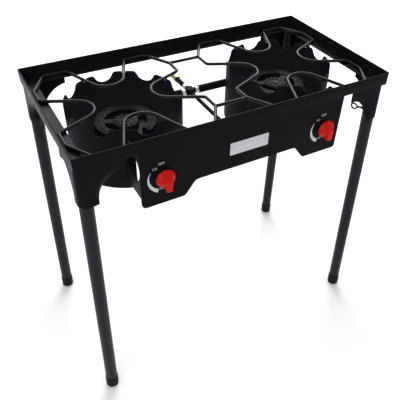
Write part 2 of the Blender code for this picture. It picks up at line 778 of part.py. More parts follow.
def panel():
    sheet = prism(panel_section(), PANEL_LOW, PANEL_TOP, "Z")
    made = add_object("control_panel", sheet, STEEL)
    shelf = block((-PANEL_HALF + 0.02, PANEL_Y + 0.0005, PANEL_TOP - PANEL_WALL),
                  (PANEL_HALF - 0.02, PANEL_Y + FLANGE_DEPTH, PANEL_TOP))
    combine(made, add_cutter("panel_shelf", shelf), "UNION")
    combine(made, add_cutter("panel_arch", prism(panel_arch(), -0.22, -0.20, "Y")),
            "DIFFERENCE")
    for side, sign in SIDES.items():
        far = sign * (PANEL_HALF + 0.01)
        near = sign * (PANEL_HALF - 0.01)
        low_x, high_x = min(far, near), max(far, near)
        under = block((low_x, PANEL_Y + 0.005, PANEL_LOW - 0.01),
                      (high_x, SIDE_END + 0.01, PANEL_SIDE_LOW))
        combine(made, add_cutter("panel_under_" + side, under), "DIFFERENCE")
        slope = prism([(SIDE_SLOPE_Y, PANEL_TOP), (SIDE_SLOPE_Y, PANEL_TOP + 0.01),
                       (SIDE_END + 0.01, PANEL_TOP + 0.01), (SIDE_END + 0.01, SIDE_SLOPE_Z),
                       (SIDE_END, SIDE_SLOPE_Z)], low_x, high_x, "X")
        combine(made, add_cutter("panel_slope_" + side, slope), "DIFFERENCE")
        inner = PANEL_HALF - PANEL_CORNER
        corner = [(sign * inner, PANEL_LOW - 0.004),
                  (sign * (PANEL_HALF + 0.004), PANEL_LOW - 0.004),
                  (sign * (PANEL_HALF + 0.004), PANEL_LOW + PANEL_CORNER)]
        for x, z in arc((inner, PANEL_LOW + PANEL_CORNER), PANEL_CORNER, 0, -90, 5):
            corner.append((sign * x, z))
        combine(made, add_cutter("panel_corner_" + side, prism(corner, -0.22, -0.2, "Y")),
                "DIFFERENCE")
        stem = rod(-0.01, 0.01, (sign * BURNER_X, PANEL_Y, VALVE_Z), 0.0055, "Y", 20)
        combine(made, add_cutter("panel_stem_" + side, stem), "DIFFERENCE")
        rivet = rod(-0.01, 0.01, (sign * RIVET_X, PANEL_Y, PLATE_Z), RIVET_HOLE, "Y", 12)
        combine(made, add_cutter("panel_rivet_" + side, rivet), "DIFFERENCE")
    hole = rod(-0.3, 0.3, (0, SIDE_HOLE_Y, SIDE_HOLE_Z), SIDE_HOLE_R, "X", 32)
    combine(made, add_cutter("panel_side_hole", hole), "DIFFERENCE")


def name_plate():
    """A blank metal plate held by two rivets."""
    inner_x, inner_z = PLATE_HALF_X - PLATE_CORNER, PLATE_HALF_Z - PLATE_CORNER
    outline = []
    for start, sign_x, sign_z in ((0, 1, 1), (90, -1, 1), (180, -1, -1), (270, 1, -1)):
        outline += arc((sign_x * inner_x, PLATE_Z + sign_z * inner_z),
                       PLATE_CORNER, start, start + 90, 3)
    back = PANEL_Y - GAP
    front = back - PLATE_WALL
    made = add_object("name_plate", prism(outline, front, back, "Y"), PLATE_METAL)
    for side, sign in SIDES.items():
        x = sign * RIVET_X
        spot = rod(-0.01, 0.01, (x, back, PLATE_Z), RIVET_HOLE, "Y", 12)
        combine(made, add_cutter("plate_hole_" + side, spot), "DIFFERENCE")
        head, tail = front - GAP / 3, PANEL_BACK + GAP
        profile = [(0, head - 0.0016), (0.0018, head - 0.0012), (2 * RIVET_RADIUS, head),
                   (RIVET_RADIUS, head), (RIVET_RADIUS, tail), (0.0026, tail),
                   (0.0020, tail + 0.0011), (0, tail + 0.0011)]
        level = [(radius, -height) for radius, height in profile]
        rivet = turned(level, (x, 0, PLATE_Z), "Y", 12)
        add_object("plate_rivet_" + side, rivet, ZINC)


def panel_screws():
    """Hexagon-headed screws that hold the panel's top flange up under the rail."""
    for side, sign in SIDES.items():
        spot = (sign * PANEL_SCREW_X, PANEL_Y + 0.012, 0)
        top = PANEL_TOP - PANEL_WALL - GAP
        bm = hexagon(top - 0.005, top, spot, 0.010, "Z")
        add_object("panel_screw_" + side, bm, ZINC, sharp=20)


# Knobs, valves and gas line -------------------------------------------------------------

def knob(side, centre_x):
    """Narrow hub, rim, cone and an upright finger grip, wider and sloped at its top."""
    axis = (centre_x, KNOB_BACK, VALVE_Z)
    disc = turned([(0, 0), (KNOB_HUB, 0), (KNOB_HUB, KNOB_DISC_BACK),
                   (KNOB_RADIUS - 0.001, KNOB_DISC_BACK), (KNOB_RADIUS, KNOB_DISC_BACK + 0.001),
                   (KNOB_RADIUS, KNOB_FACE - 0.001), (KNOB_RADIUS - 0.0006, KNOB_FACE),
                   (CONE_RADIUS + 0.0010, CONE_TOP - 0.0015), (CONE_RADIUS - 0.001, CONE_TOP),
                   (0, CONE_TOP)], axis, "Y", 32)
    made = add_object(side + "_knob", disc, KNOB_RED, axis)
    face = KNOB_BACK - KNOB_FACE
    reach = GRIP_REACH
    side_view = [(face + 0.002, -reach + 0.003), (face + 0.002, 0.0205),
                 (face - 0.001, 0.0205), (KNOB_FRONT, 0.0025),
                 (KNOB_FRONT, -reach + 0.002), (KNOB_FRONT + 0.002, -reach)]
    grip = bmesh.new()
    flanks = []
    for sign in (-1, 1):
        ring = []
        for y, rise in side_view:
            half = GRIP_LOW + (GRIP_HIGH - GRIP_LOW) * (rise + reach) / (2 * reach)
            ring.append(grip.verts.new((centre_x + sign * half, y, VALVE_Z + rise)))
        grip.faces.new(ring)
        flanks.append(ring)
    for i in range(len(side_view)):
        j = (i + 1) % len(side_view)
        grip.faces.new((flanks[0][i], flanks[0][j], flanks[1][j], flanks[1][i]))
    combine(made, add_cutter(side + "_grip", grip), "UNION")
    bore = rod(-0.001, 0.016, axis, STEM_RADIUS + GAP, "Y", 16)
    combine(made, add_cutter(side + "_knob_bore", bore), "DIFFERENCE")


def valve(side, centre_x):
    """Brass valve body behind the panel: hexagon, barrel and a nozzle to the burner."""
    centre = (centre_x, 0, VALVE_Z)
    front = PANEL_BACK + 0.001
    body = turned([(0, VALVE_TAIL + 0.008), (0.0032, VALVE_TAIL + 0.008),
                   (0.0032, VALVE_TAIL - 0.003), (0.0062, VALVE_TAIL - 0.006),
                   (0.0085, VALVE_TAIL - 0.010), (0.0085, front + 0.004),
                   (0.0068, front), (0, front)], centre, "Y", 20)
    for vert in body.verts:
        vert.co.y = -vert.co.y
    made = add_object(side + "_valve", body, BRASS)
    bore = rod(0.190, 0.230, centre, STEM_RADIUS + GAP, "Y", 16)
    combine(made, add_cutter(side + "_valve_bore", bore), "DIFFERENCE")
    stem = rod(0.1905, -KNOB_BACK + 0.015, centre, STEM_RADIUS, "Y", 16)
    mesh_origin = (centre_x, KNOB_BACK, VALVE_Z)
    add_object(side + "_valve_stem", stem, ZINC, mesh_origin)


def manifold():
    """A pipe along the panel with a block in the middle that takes the feed tube."""
    bm = pipe(-MANIFOLD_HALF, MANIFOLD_HALF, (0, MANIFOLD_Y, MANIFOLD_Z),
              MANIFOLD_RADIUS, 0.0062, "X", 20)
    made = add_object("manifold_pipe", bm, STEEL)
    tee = block((-TEE_HALF, MANIFOLD_Y - TEE_HALF, CROSS_Z - TEE_HALF),
                (TEE_HALF, MANIFOLD_Y + TEE_HALF, MANIFOLD_Z + TEE_HALF))
    combine(made, add_cutter("manifold_tee", tee), "UNION")
    for side, sign in SIDES.items():
        near = sign * (MANIFOLD_HALF + GAP)
        far = sign * (MANIFOLD_HALF + 0.006)
        cap = hexagon(min(near, far), max(near, far), (0, MANIFOLD_Y, MANIFOLD_Z),
                      0.019, "X")
        add_object("manifold_cap_" + side, cap, ZINC, sharp=20)


def cross_fitting():
    """A four-way block, its bosses along X and Y, in the middle of the gas line."""
    centre = (0, CROSS_Y, CROSS_Z)
    half = 0.0095
    low = [value - half for value in centre]
    high = [value + half for value in centre]
    made = add_object("gas_cross", block(low, high), STEEL)
    for axis in ("X", "Y"):
        boss = rod(-CROSS_HALF, CROSS_HALF, centre, 0.0078, axis, 16)
        combine(made, add_cutter("cross_boss_" + axis, boss), "UNION")


def gas_line():
    cross_fitting()
    centre = (0, CROSS_Y, CROSS_Z)
    for side, sign in SIDES.items():
        near, far = CROSS_HALF + GAP, CROSS_HALF + 0.0105
        low, high = min(sign * near, sign * far), max(sign * near, sign * far)
        nut = hexagon(low, high, centre, 0.0185, "X")
        add_object("arm_nut_" + side, nut, ZINC, sharp=20)
        start, end = sign * (far + GAP), sign * 0.150
        bm = pipe(min(start, end), max(start, end), centre, ARM_RADIUS, 0.0082, "X", 20)
        arm = add_object("cross_arm_" + side, bm, STEEL)
        wall = rod(RIM_Z - 0.2, RIM_Z, (sign * BURNER_X, GUARD_Y, 0),
                   GUARD_RADIUS + 0.0005, "Z", 96)
        combine(arm, add_cutter("guard_space_" + side, wall), "DIFFERENCE")
    rear = CROSS_HALF + GAP
    nut = hexagon(-rear - 0.014, -rear, centre, 0.0185, "Y")
    add_object("inlet_nut", nut, ZINC, sharp=20)
    start = rear + 0.014 + GAP
    nipple = pipe(-start - 0.044, -start, centre, 0.0072, 0.0050, "Y", 16)
    add_object("inlet_pipe", nipple, STEEL)
    start += 0.044 + GAP
    brass = turned([(0.0034, -start - 0.034), (0.0072, -start - 0.034),
                    (0.0082, -start - 0.032), (0.0082, -start - 0.019),
                    (0.0066, -start - 0.018), (0.0066, -start - 0.014),
                    (0.0034, -start - 0.014)], centre, "Y", 16)
    made = add_object("hose_inlet", brass, BRASS)
    collar = hexagon(-start - 0.0145, -start, centre, 0.0175, "Y")
    combine(made, add_cutter("inlet_hexagon", collar), "UNION")
    bore = rod(-start - 0.04, -start + 0.001, centre, 0.0034, "Y", 16)
    combine(made, add_cutter("inlet_bore", bore), "DIFFERENCE")
    feed_tube()


def feed_tube():
    """The level tube from the cross fitting to the manifold at the front."""
    back = CROSS_HALF + GAP
    front = CROSS_Y - (MANIFOLD_Y + TEE_HALF + GAP)
    bm = pipe(back, front, (0, CROSS_Y, CROSS_Z), FEED_RADIUS, 0.0036, "Y", 16)
    add_object("feed_tube", bm, STEEL)


def make_controls():
    panel()
    name_plate()
    panel_screws()
    manifold()
    for side, sign in SIDES.items():
        knob(side, sign * BURNER_X)
        valve(side, sign * BURNER_X)


clear_scene()
make_frame()
make_corners()
make_grates()
make_burners()
make_controls()
gas_line()
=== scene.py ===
"""Looks of the two-burner propane stand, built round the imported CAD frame.

Metres. +X right, +Y back, +Z up, and the knobs face -Y. Places come from the CAD nodes'
boxes. Every piece rides on its CAD body, and replaces the nodes whose shape it refines.
"""
import math
import random

import bmesh
import bpy
from mathutils import Matrix, Vector


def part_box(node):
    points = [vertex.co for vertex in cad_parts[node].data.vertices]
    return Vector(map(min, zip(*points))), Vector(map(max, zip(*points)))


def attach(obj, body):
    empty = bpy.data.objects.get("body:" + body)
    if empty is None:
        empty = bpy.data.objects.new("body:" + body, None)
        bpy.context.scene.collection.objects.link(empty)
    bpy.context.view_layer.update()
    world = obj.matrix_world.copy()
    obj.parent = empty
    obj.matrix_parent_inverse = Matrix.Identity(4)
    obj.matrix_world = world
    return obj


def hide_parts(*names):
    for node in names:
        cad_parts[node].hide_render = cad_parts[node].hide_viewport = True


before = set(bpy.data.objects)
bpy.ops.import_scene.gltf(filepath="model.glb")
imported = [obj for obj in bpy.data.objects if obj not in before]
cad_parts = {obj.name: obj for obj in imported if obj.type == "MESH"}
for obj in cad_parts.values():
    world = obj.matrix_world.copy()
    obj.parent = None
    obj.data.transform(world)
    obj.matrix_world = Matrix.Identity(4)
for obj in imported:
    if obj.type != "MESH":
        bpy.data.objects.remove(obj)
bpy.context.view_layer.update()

SIDES = {"left": -1, "right": 1}
CORNERS = {
    "front_left": (-1, -1),
    "front_right": (1, -1),
    "rear_left": (-1, 1),
    "rear_right": (1, 1),
}
STAND = "stand"
MM = 0.001

# Frame
HALF_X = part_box("right_rail")[1].x
HALF_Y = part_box("rear_rail")[1].y
RIM_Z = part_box("front_rail")[1].z
RAIL_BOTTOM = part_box("front_rail")[0].z
ANGLE = RIM_Z - RAIL_BOTTOM
ANGLE_WALL = 3.2 * MM
SHELF_Z = RAIL_BOTTOM + ANGLE_WALL
RIM_ROUND = 5 * MM

# Corner brackets
BRACKET_WALL = 2.5 * MM
SHEET_INSET = 1.5 * MM
BRACKET_LENGTH = 106 * MM
BRACKET_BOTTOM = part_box("leg_bracket_front_left")[0].z
BRACKET_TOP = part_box("leg_bracket_front_left")[1].z
BEND_WIDTH, BEND_HEIGHT = 76 * MM, 86 * MM
LIP_WIDTH, LIP_HEIGHT, LIP_DEPTH = 65 * MM, 68 * MM, 8.8 * MM
BEND_STEPS = 12

# Legs, feet and clips
LEG_RADIUS, LEG_BORE = 15.9 * MM, 14.3 * MM
LEG_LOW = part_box("leg_front_left")[0].z
LEG_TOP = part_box("leg_front_left")[1].z
LEG_TOP_X, LEG_TOP_Y = 385.8 * MM, 187.0 * MM
LEG_FOOT_X, LEG_FOOT_Y = 407.2 * MM, 210.8 * MM
FOOT_RADIUS = 17.4 * MM
FOOT_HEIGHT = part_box("foot_front_left")[1].z
FOOT_FLOOR = 6 * MM
WRAP = LEG_RADIUS + 0.3 * MM + BRACKET_WALL / 2
PIN_Z = RIM_Z - 119 * MM
PIN_RADIUS, PIN_HOLE = 2.3 * MM, 2.7 * MM
RING_WIDE, RING_TALL = 9.5 * MM, 6.5 * MM
RING_REACH, RING_DROP = 36 * MM, 6 * MM
CLIP_OFFSET = 5.4 * MM

# Grates
WIRE = 4 * MM
WIRE_Z = (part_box("left_grate")[0].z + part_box("left_grate")[1].z) / 2
BURNER_X = (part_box("right_grate")[0].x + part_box("right_grate")[1].x) / 2
GRATE_X, GRATE_Y = 175.5 * MM, 192 * MM
GRATE_SHIFT = 2 * MM
SIDE_FINGER, END_FINGER = 74 * MM, 77 * MM
TIP, FINGER_ROUND = 73 * MM, 43 * MM
CHAMFER_X, CHAMFER_Y = 135 * MM, 122 * MM
WIRE_BEND = 10 * MM

# Wind guards
GUARD_Y = 3 * MM
GUARD_RADIUS = (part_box("left_wind_guard")[1].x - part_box("left_wind_guard")[0].x) / 2
GUARD_WALL = 1.5 * MM
GUARD_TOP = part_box("left_wind_guard")[1].z
GUARD_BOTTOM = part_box("left_wind_guard")[0].z
NOTCHES = 8
NOTCH_DEPTH, NOTCH_HALF = 22.5 * MM, 24 * MM
TAB_ROUND = 7 * MM
WINDOW_HALF = 31 * MM
WINDOW_TOP = RIM_Z - 76 * MM

# Burners
BURNER_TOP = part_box("left_burner")[1].z
HUB_BOTTOM = RIM_Z - 124 * MM
RING_IN, SKIRT_RADIUS = 51 * MM, 82 * MM
RING_HEIGHT = 20 * MM
# Painted shade: a dark iron sheet under the gaps between hub and ring, standing in for the shade
# seen through them
SHADE_WEB_RADIUS, SHADE_WEB_THICK = 75 * MM, 6.5 * MM
SLOT_DEPTH = 3.5 * MM
INNER_SLOTS, OUTER_SLOTS, HUB_SLOTS = 38, 44, 12
RING_GAP = 27
HUB_RADIUS = 32 * MM
ARM_ANGLES = (24, 156)
MIXER_RADIUS, MOUTH_RADIUS = 16.5 * MM, 24 * MM
MOUTH_REACH = GUARD_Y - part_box("left_burner")[0].y
VALVE_Z = RIM_Z - 104 * MM

# Panel, plate and knobs
PANEL_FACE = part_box("control_panel")[0].y
PLATE_LOW, PLATE_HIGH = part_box("name_plate")
PLATE_Z = (PLATE_LOW.z + PLATE_HIGH.z) / 2
RIVET_X = 46.5 * MM
RIVET_HOLE = 1.8 * MM
KNOB_RADIUS = 22.8 * MM
KNOB_HUB = 10 * MM
KNOB_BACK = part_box("left_knob")[1].y
KNOB_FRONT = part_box("left_knob")[0].y
KNOB_DISC_BACK = KNOB_BACK - 7.5 * MM
KNOB_FACE = KNOB_BACK - 11.5 * MM
CONE_TOP, CONE_RADIUS = KNOB_BACK - 26 * MM, 9 * MM
GRIP_LOW, GRIP_HIGH = 7.2 * MM, 11.5 * MM
GRIP_REACH, GRIP_TAIL = 23.5 * MM, 20.5 * MM
STEM_RADIUS = 3 * MM
KNOB_BORE = 16 * MM
DIAL_RADIUS, DIAL_SPREAD = 33.8 * MM, 9.3 * MM
DIAL_START, DIAL_SWEEP = 148, 101
DIAL_WORDS = (("OFF", -4.0 * MM, 33.5 * MM), ("LO", -19.5 * MM, 24.0 * MM),
              ("HI", -6.0 * MM, -32.0 * MM))
LETTER_SIZE = 8.2 * MM

# Camera and stage
LENS, LENS_SHIFT = 45.86, (-0.03294, 0.0191)
VIEW_FROM = Vector((-0.56931, -1.00713, 1.36184))
VIEW_FORWARD = Vector((0.38581, 0.64406, -0.66056))
VIEW_RIGHT = Vector((0.87082, -0.49068, 0.03018))
FLOOR_REACH = 9.0
WORLD_LIGHT = 0.80


# Materials -----------------------------------------------------------------------------

def finish(name, shades, roughness, metallic=0.0, specular=0.5, grain=(900, 0.2, 0.0001),
           patch=14, stretch=(1, 1, 1)):
    """A procedural finish: patchy colour and roughness, and a fine grain as bump.

    shades are the darkest and lightest colour, roughness is (lowest, highest), and grain
    is (noise scale, strength, depth in metres). stretch scales the pattern on each axis.
    """
    made = bpy.data.materials.new(name)
    made.use_nodes = True
    nodes, links = made.node_tree.nodes, made.node_tree.links

    def node(kind, settings):
        fresh = nodes.new(kind)
        for socket, value in settings.items():
            fresh.inputs[socket].default_value = value
        return fresh

    shader = nodes["Principled BSDF"]
    shader.inputs["Metallic"].default_value = metallic
    shader.inputs["Specular IOR Level"].default_value = specular
    place = node("ShaderNodeTexCoord", {})
    scaled = node("ShaderNodeMapping", {"Scale": stretch})
    links.new(place.outputs["Object"], scaled.inputs["Vector"])
    broad = node("ShaderNodeTexNoise", {"Scale": patch, "Detail": 6})
    links.new(scaled.outputs["Vector"], broad.inputs["Vector"])
    ramp = node("ShaderNodeValToRGB", {})
    for stop, spot, shade in zip(ramp.color_ramp.elements, (0.3, 0.7), shades):
        stop.position = spot
        stop.color = (*shade, 1)
    links.new(broad.outputs["Fac"], ramp.inputs["Fac"])
    links.new(ramp.outputs["Color"], shader.inputs["Base Color"])
    fine = node("ShaderNodeTexNoise", {"Scale": grain[0], "Detail": 3})
    links.new(scaled.outputs["Vector"], fine.inputs["Vector"])
    rough = node("ShaderNodeMapRange", {"From Min": 0.3, "From Max": 0.7,
                                        "To Min": roughness[0], "To Max": roughness[1]})
    links.new(broad.outputs["Fac"], rough.inputs["Value"])
    links.new(rough.outputs["Result"], shader.inputs["Roughness"])
    bump = node("ShaderNodeBump", {"Strength": grain[1], "Distance": grain[2]})
    links.new(fine.outputs["Fac"], bump.inputs["Height"])
    links.new(bump.outputs["Normal"], shader.inputs["Normal"])
    return made


COAT = finish("powder_coat", ((0.0056, 0.0054, 0.0070), (0.0074, 0.0071, 0.0090)),
              (0.30, 0.38), specular=0.024, grain=(1400, 0.30, 0.00010))
GUARD_COAT = finish("guard_coat", ((0.0100, 0.0096, 0.0122), (0.0128, 0.0122, 0.0154)),
                    (0.45, 0.55), specular=0.014, grain=(1200, 0.30, 0.00010))
LEG_COAT = finish("leg_coat", ((0.0100, 0.0098, 0.0116), (0.0130, 0.0128, 0.0150)),
                  (0.34, 0.42), specular=0.11, grain=(1400, 0.30, 0.00010))
WIRE_COAT = finish("wire_coat", ((0.0060, 0.0060, 0.0072), (0.0100, 0.0100, 0.0115)),
                   (0.36, 0.48), specular=0.16, grain=(1100, 0.4, 0.00015), patch=30)
IRON = finish("cast_iron", ((0.0030, 0.0029, 0.0034), (0.0082, 0.0080, 0.0090)),
              (0.50, 0.70), specular=0.12, grain=(520, 0.8, 0.0005), patch=60)
ZINC = finish("zinc_plate", ((0.58, 0.60, 0.60), (0.74, 0.75, 0.73)), (0.24, 0.40),
              metallic=1.0, grain=(700, 0.2, 0.00008), patch=90)
BRASS = finish("brass", ((0.20, 0.15, 0.055), (0.46, 0.37, 0.17)), (0.26, 0.40),
               metallic=1.0, grain=(600, 0.2, 0.00008), patch=80)
KNOB_RED = finish("knob_red", ((0.44, 0.0030, 0.0025), (0.50, 0.0045, 0.0036)), (0.28, 0.36),
                  specular=0.12, grain=(2200, 0.12, 0.00004), patch=40)
RUBBER = finish("foot_rubber", ((0.0060, 0.0060, 0.0068), (0.0090, 0.0090, 0.0100)),
                (0.50, 0.65), specular=0.08, grain=(800, 0.5, 0.0002), patch=50)
PLATE = finish("plate_metal", ((0.44, 0.45, 0.47), (0.56, 0.57, 0.59)), (0.34, 0.46),
               metallic=0.85, grain=(500, 0.25, 0.00006), patch=60, stretch=(0.06, 1, 3))
CLIP = finish("clip_steel", ((0.0050, 0.0050, 0.0056), (0.0100, 0.0100, 0.0110)), (0.36, 0.48),
              specular=0.15, grain=(900, 0.3, 0.0001), patch=60)
PRINT = finish("dial_print", ((0.46, 0.46, 0.46), (0.56, 0.56, 0.56)), (0.5, 0.65),
               grain=(1800, 0.3, 0.00003), patch=120)
WELD = finish("weld_bead", ((0.0045, 0.0045, 0.0056), (0.0085, 0.0085, 0.0100)), (0.36, 0.48),
              specular=0.12, grain=(700, 0.7, 0.0003), patch=90)


# Mesh tools ----------------------------------------------------------------------------

def add(name, data):
    """A new object in the scene."""
    made = bpy.data.objects.new(name, data)
    bpy.context.scene.collection.objects.link(made)
    return made


def shape(name, bm):
    """A loose object from a bmesh drawn in world positions."""
    bmesh.ops.remove_doubles(bm, verts=bm.verts, dist=1e-6)
    bmesh.ops.recalc_face_normals(bm, faces=bm.faces)
    mesh = bpy.data.meshes.new(name)
    bm.to_mesh(mesh)
    bm.free()
    return add(name, mesh)


def bake(made):
    """Turn an object's modifiers into its mesh."""
    graph = bpy.context.evaluated_depsgraph_get()
    mesh = bpy.data.meshes.new_from_object(made.evaluated_get(graph))
    made.modifiers.clear()
    made.data = mesh
    return made


def combine(made, bm, operation="DIFFERENCE"):
    """Cut an object with a bmesh, or add the bmesh to it."""
    tool = shape(made.name + "_tool", bm)
    step = made.modifiers.new("combine", "BOOLEAN")
    step.operation = operation
    step.object = tool
    bake(made)
    bpy.data.objects.remove(tool, do_unlink=True)
    return made


def soften(made, width, segments=2, angle=35):
    """Round the sharp edges by a bevel."""
    step = made.modifiers.new("soften", "BEVEL")
    step.width = width
    step.segments = segments
    step.limit_method = "ANGLE"
    step.angle_limit = math.radians(angle)
    return bake(made)


def piece(made, look, body=STAND, nodes=(), sharp=35):
    """Shade, paint and mount a finished piece, and let it stand for its CAD nodes."""
    made.data.materials.clear()
    made.data.materials.append(look)
    made.data.shade_smooth()
    made.data.set_sharp_from_angle(angle=math.radians(sharp))
    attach(made, body)
    if nodes:
        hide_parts(*nodes)
    return made


def bridge(bm, rings, closed=False):
    """Skin a row of vertex rings. An open row gets a flat cap at each end."""
    pairs = list(zip(rings, rings[1:]))
    if closed:
        pairs.append((rings[-1], rings[0]))
    else:
        bm.faces.new(rings[0])
        bm.faces.new(rings[-1])
    for here, after in pairs:
        for k in range(len(here)):
            j = (k + 1) % len(here)
            bm.faces.new((here[k], here[j], after[j], after[k]))


def prism(outline, low, high, axis):
    """Extrude a 2-D outline along an axis. The outline's two numbers are the other axes."""
    bm = bmesh.new()
    order = {"X": (2, 0, 1), "Y": (0, 2, 1), "Z": (0, 1, 2)}[axis]
    rings = []
    for level in (low, high):
        ring = []
        for u, v in outline:
            source = (u, v, level)
            ring.append(bm.verts.new([source[index] for index in order]))
        rings.append(ring)
    bridge(bm, rings)
    return bm


def box_mesh(low, high):
    """A plain box between two corners."""
    corners = [(low[0], low[1]), (high[0], low[1]), (high[0], high[1]), (low[0], high[1])]
    return prism(corners, low[2], high[2], "Z")


def turned(profile, centre, axis="Z", segments=64, start=0.0, sweep=360.0):
    """Turn a closed half-profile of (radius, height) points about an axis.

    A sweep under 360 degrees gives a sector with flat ends. "Y" heights run toward -Y.
    """
    bm = bmesh.new()
    turn = {
        "Z": Matrix.Identity(3),
        "Y": Matrix(((1, 0, 0), (0, 0, -1), (0, 1, 0))),
    }[axis]
    whole = sweep >= 360
    rings = []
    for i in range(segments + (0 if whole else 1)):
        angle = math.radians(start + sweep * i / segments)
        ring = []
        for radius, height in profile:
            local = Vector((radius * math.cos(angle), radius * math.sin(angle), height))
            ring.append(bm.verts.new(turn @ local + Vector(centre)))
        rings.append(ring)
    if not whole:
        bm.faces.new(rings[0])
        bm.faces.new(rings[-1])
    pairs = list(zip(rings, rings[1:]))
    if whole:
        pairs.append((rings[-1], rings[0]))
    for here, after in pairs:
        for k in range(len(profile)):
            j = (k + 1) % len(profile)
            if profile[k][0] < 1e-9 and profile[j][0] < 1e-9:
                continue
            bm.faces.new((here[k], here[j], after[j], after[k]))
    bmesh.ops.remove_doubles(bm, verts=bm.verts, dist=1e-7)
    return bm


def join(*meshes):
    """Put several bmeshes into the first."""
    first = meshes[0]
    for other in meshes[1:]:
        held = bpy.data.meshes.new("held")
        other.to_mesh(held)
        other.free()
        first.from_mesh(held)
        bpy.data.meshes.remove(held)
    return first


def swing(bm, angle, centre=(0, 0, 0)):
    """Turn a mesh about Z, in degrees, then move it to a centre."""
    bmesh.ops.rotate(bm, verts=bm.verts, cent=(0, 0, 0),
                     matrix=Matrix.Rotation(math.radians(angle), 3, "Z"))
    bmesh.ops.translate(bm, verts=bm.verts, vec=centre)
    return bm


def tube(points, radius, closed=False, up=(0, 0, 1), sides=16):
    """Sweep a circle along points. radius is a number or one value for each point."""
    bm = bmesh.new()
    path = [Vector(point) for point in points]
    count = len(path)
    sizes = radius if isinstance(radius, list) else [radius] * count
    rings = []
    for i, point in enumerate(path):
        before = path[i - 1] if closed or i else point
        after = path[(i + 1) % count] if closed or i < count - 1 else point
        along = (after - before).normalized()
        across = along.cross(Vector(up)).normalized()
        over = across.cross(along)
        ring = []
        for k in range(sides):
            angle = 2 * math.pi * k / sides
            spot = point + (across * math.cos(angle) + over * math.sin(angle)) * sizes[i]
            ring.append(bm.verts.new(spot))
        rings.append(ring)
    bridge(bm, rings, closed)
    return bm


def arc(centre, radius, start, end, steps):
    """Points on an arc, in degrees, both ends included."""
    points = []
    for i in range(steps + 1):
        angle = math.radians(start + (end - start) * i / steps)
        points.append((centre[0] + radius * math.cos(angle),
                       centre[1] + radius * math.sin(angle)))
    return points


def rounded(corners, radii, steps=4, closed=True):
    """Round a 2-D path's corners. An open path's two ends are left out."""
    count = len(corners)
    if not isinstance(radii, (list, tuple)):
        radii = [radii] * count
    points = []
    for i in range(count) if closed else range(1, count - 1):
        here = Vector(corners[i])
        back = (Vector(corners[i - 1]) - here).normalized()
        ahead = (Vector(corners[(i + 1) % count]) - here).normalized()
        half = back.angle(ahead) / 2
        middle = here + (back + ahead).normalized() * (radii[i] / math.sin(half))
        first = here + back * (radii[i] / math.tan(half)) - middle
        last = here + ahead * (radii[i] / math.tan(half)) - middle
        sweep = first.angle_signed(last)
        for k in range(steps + 1):
            turn = Matrix.Rotation(-sweep * k / steps, 2)
            points.append(tuple(middle + turn @ first))
    return points


def bead(start, end, size, seed):
    """A weld bead from start to end: overlapping ripples, thin at both ends."""
    rng = random.Random(seed)
    run = Vector(end) - Vector(start)
    count = max(6, int(run.length / (0.45 * size)))
    points, sizes = [], []
    for i in range(count + 1):
        share = i / count
        points.append(Vector(start) + run * share)
        fade = min(1, 5 * share + 0.35, 5 * (1 - share) + 0.35)
        ripple = 0.86 if i % 2 else 1.0
        sizes.append(size * fade * ripple * rng.uniform(0.93, 1.07))
    up = (0, 0, 1) if abs(run.normalized().z) < 0.9 else (0.6, 0.8, 0)
    return tube(points, sizes, up=up, sides=10)


def flatten(made):
    """Keep large flat faces flat beside small bevels."""
    step = made.modifiers.new("flatten", "WEIGHTED_NORMAL")
    step.weight = 100
    step.keep_sharp = True
    return bake(made)


def refine(node, look, width, segments=2, body=STAND, sharp=35):
    """A CAD node's own shape with its triangles merged and its edges rounded."""
    bm = bmesh.new()
    bm.from_mesh(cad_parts[node].data)
    bmesh.ops.remove_doubles(bm, verts=bm.verts, dist=1e-5)
    bmesh.ops.dissolve_limit(bm, angle_limit=math.radians(1), verts=bm.verts, edges=bm.edges)
    made = shape(node + "_shell", bm)
    soften(made, width, segments)
    return flatten(piece(made, look, body, (node,), sharp))


# Frame ---------------------------------------------------------------------------------

def rail_section():
    """Section of rolled angle as (inward, height): square heel, rounded toes and fillet."""
    corners = [(0, -ANGLE), (ANGLE, -ANGLE), (ANGLE, -ANGLE + ANGLE_WALL),
               (ANGLE_WALL, -ANGLE + ANGLE_WALL), (ANGLE_WALL, 0), (0, 0)]
    radii = [0.9 * MM, 0.7 * MM, 1.5 * MM, 2.4 * MM, 1.3 * MM, 0.9 * MM]
    return rounded(corners, radii, 3)


def rail(node, half_length, outer, turn):
    """One rail. Its ends follow the rounded corners of the rim as far as the mitre."""
    bm = bmesh.new()
    steps = 4
    section = rail_section()
    rings = []
    for end in (-1, 1):
        for k in range(steps + 1):
            angle = math.radians(45) * (steps - k if end < 0 else k) / steps
            ring = []
            for inward, height in section:
                spare = max(RIM_ROUND - inward, 0)
                along = half_length - max(RIM_ROUND, inward) + spare * math.sin(angle)
                depth = max(RIM_ROUND, inward) - spare * math.cos(angle)
                ring.append(bm.verts.new((end * along, depth - outer, RIM_Z + height)))
            rings.append(ring)
    bridge(bm, rings)
    piece(shape(node + "_angle", swing(bm, turn)), COAT, nodes=(node,), sharp=30)


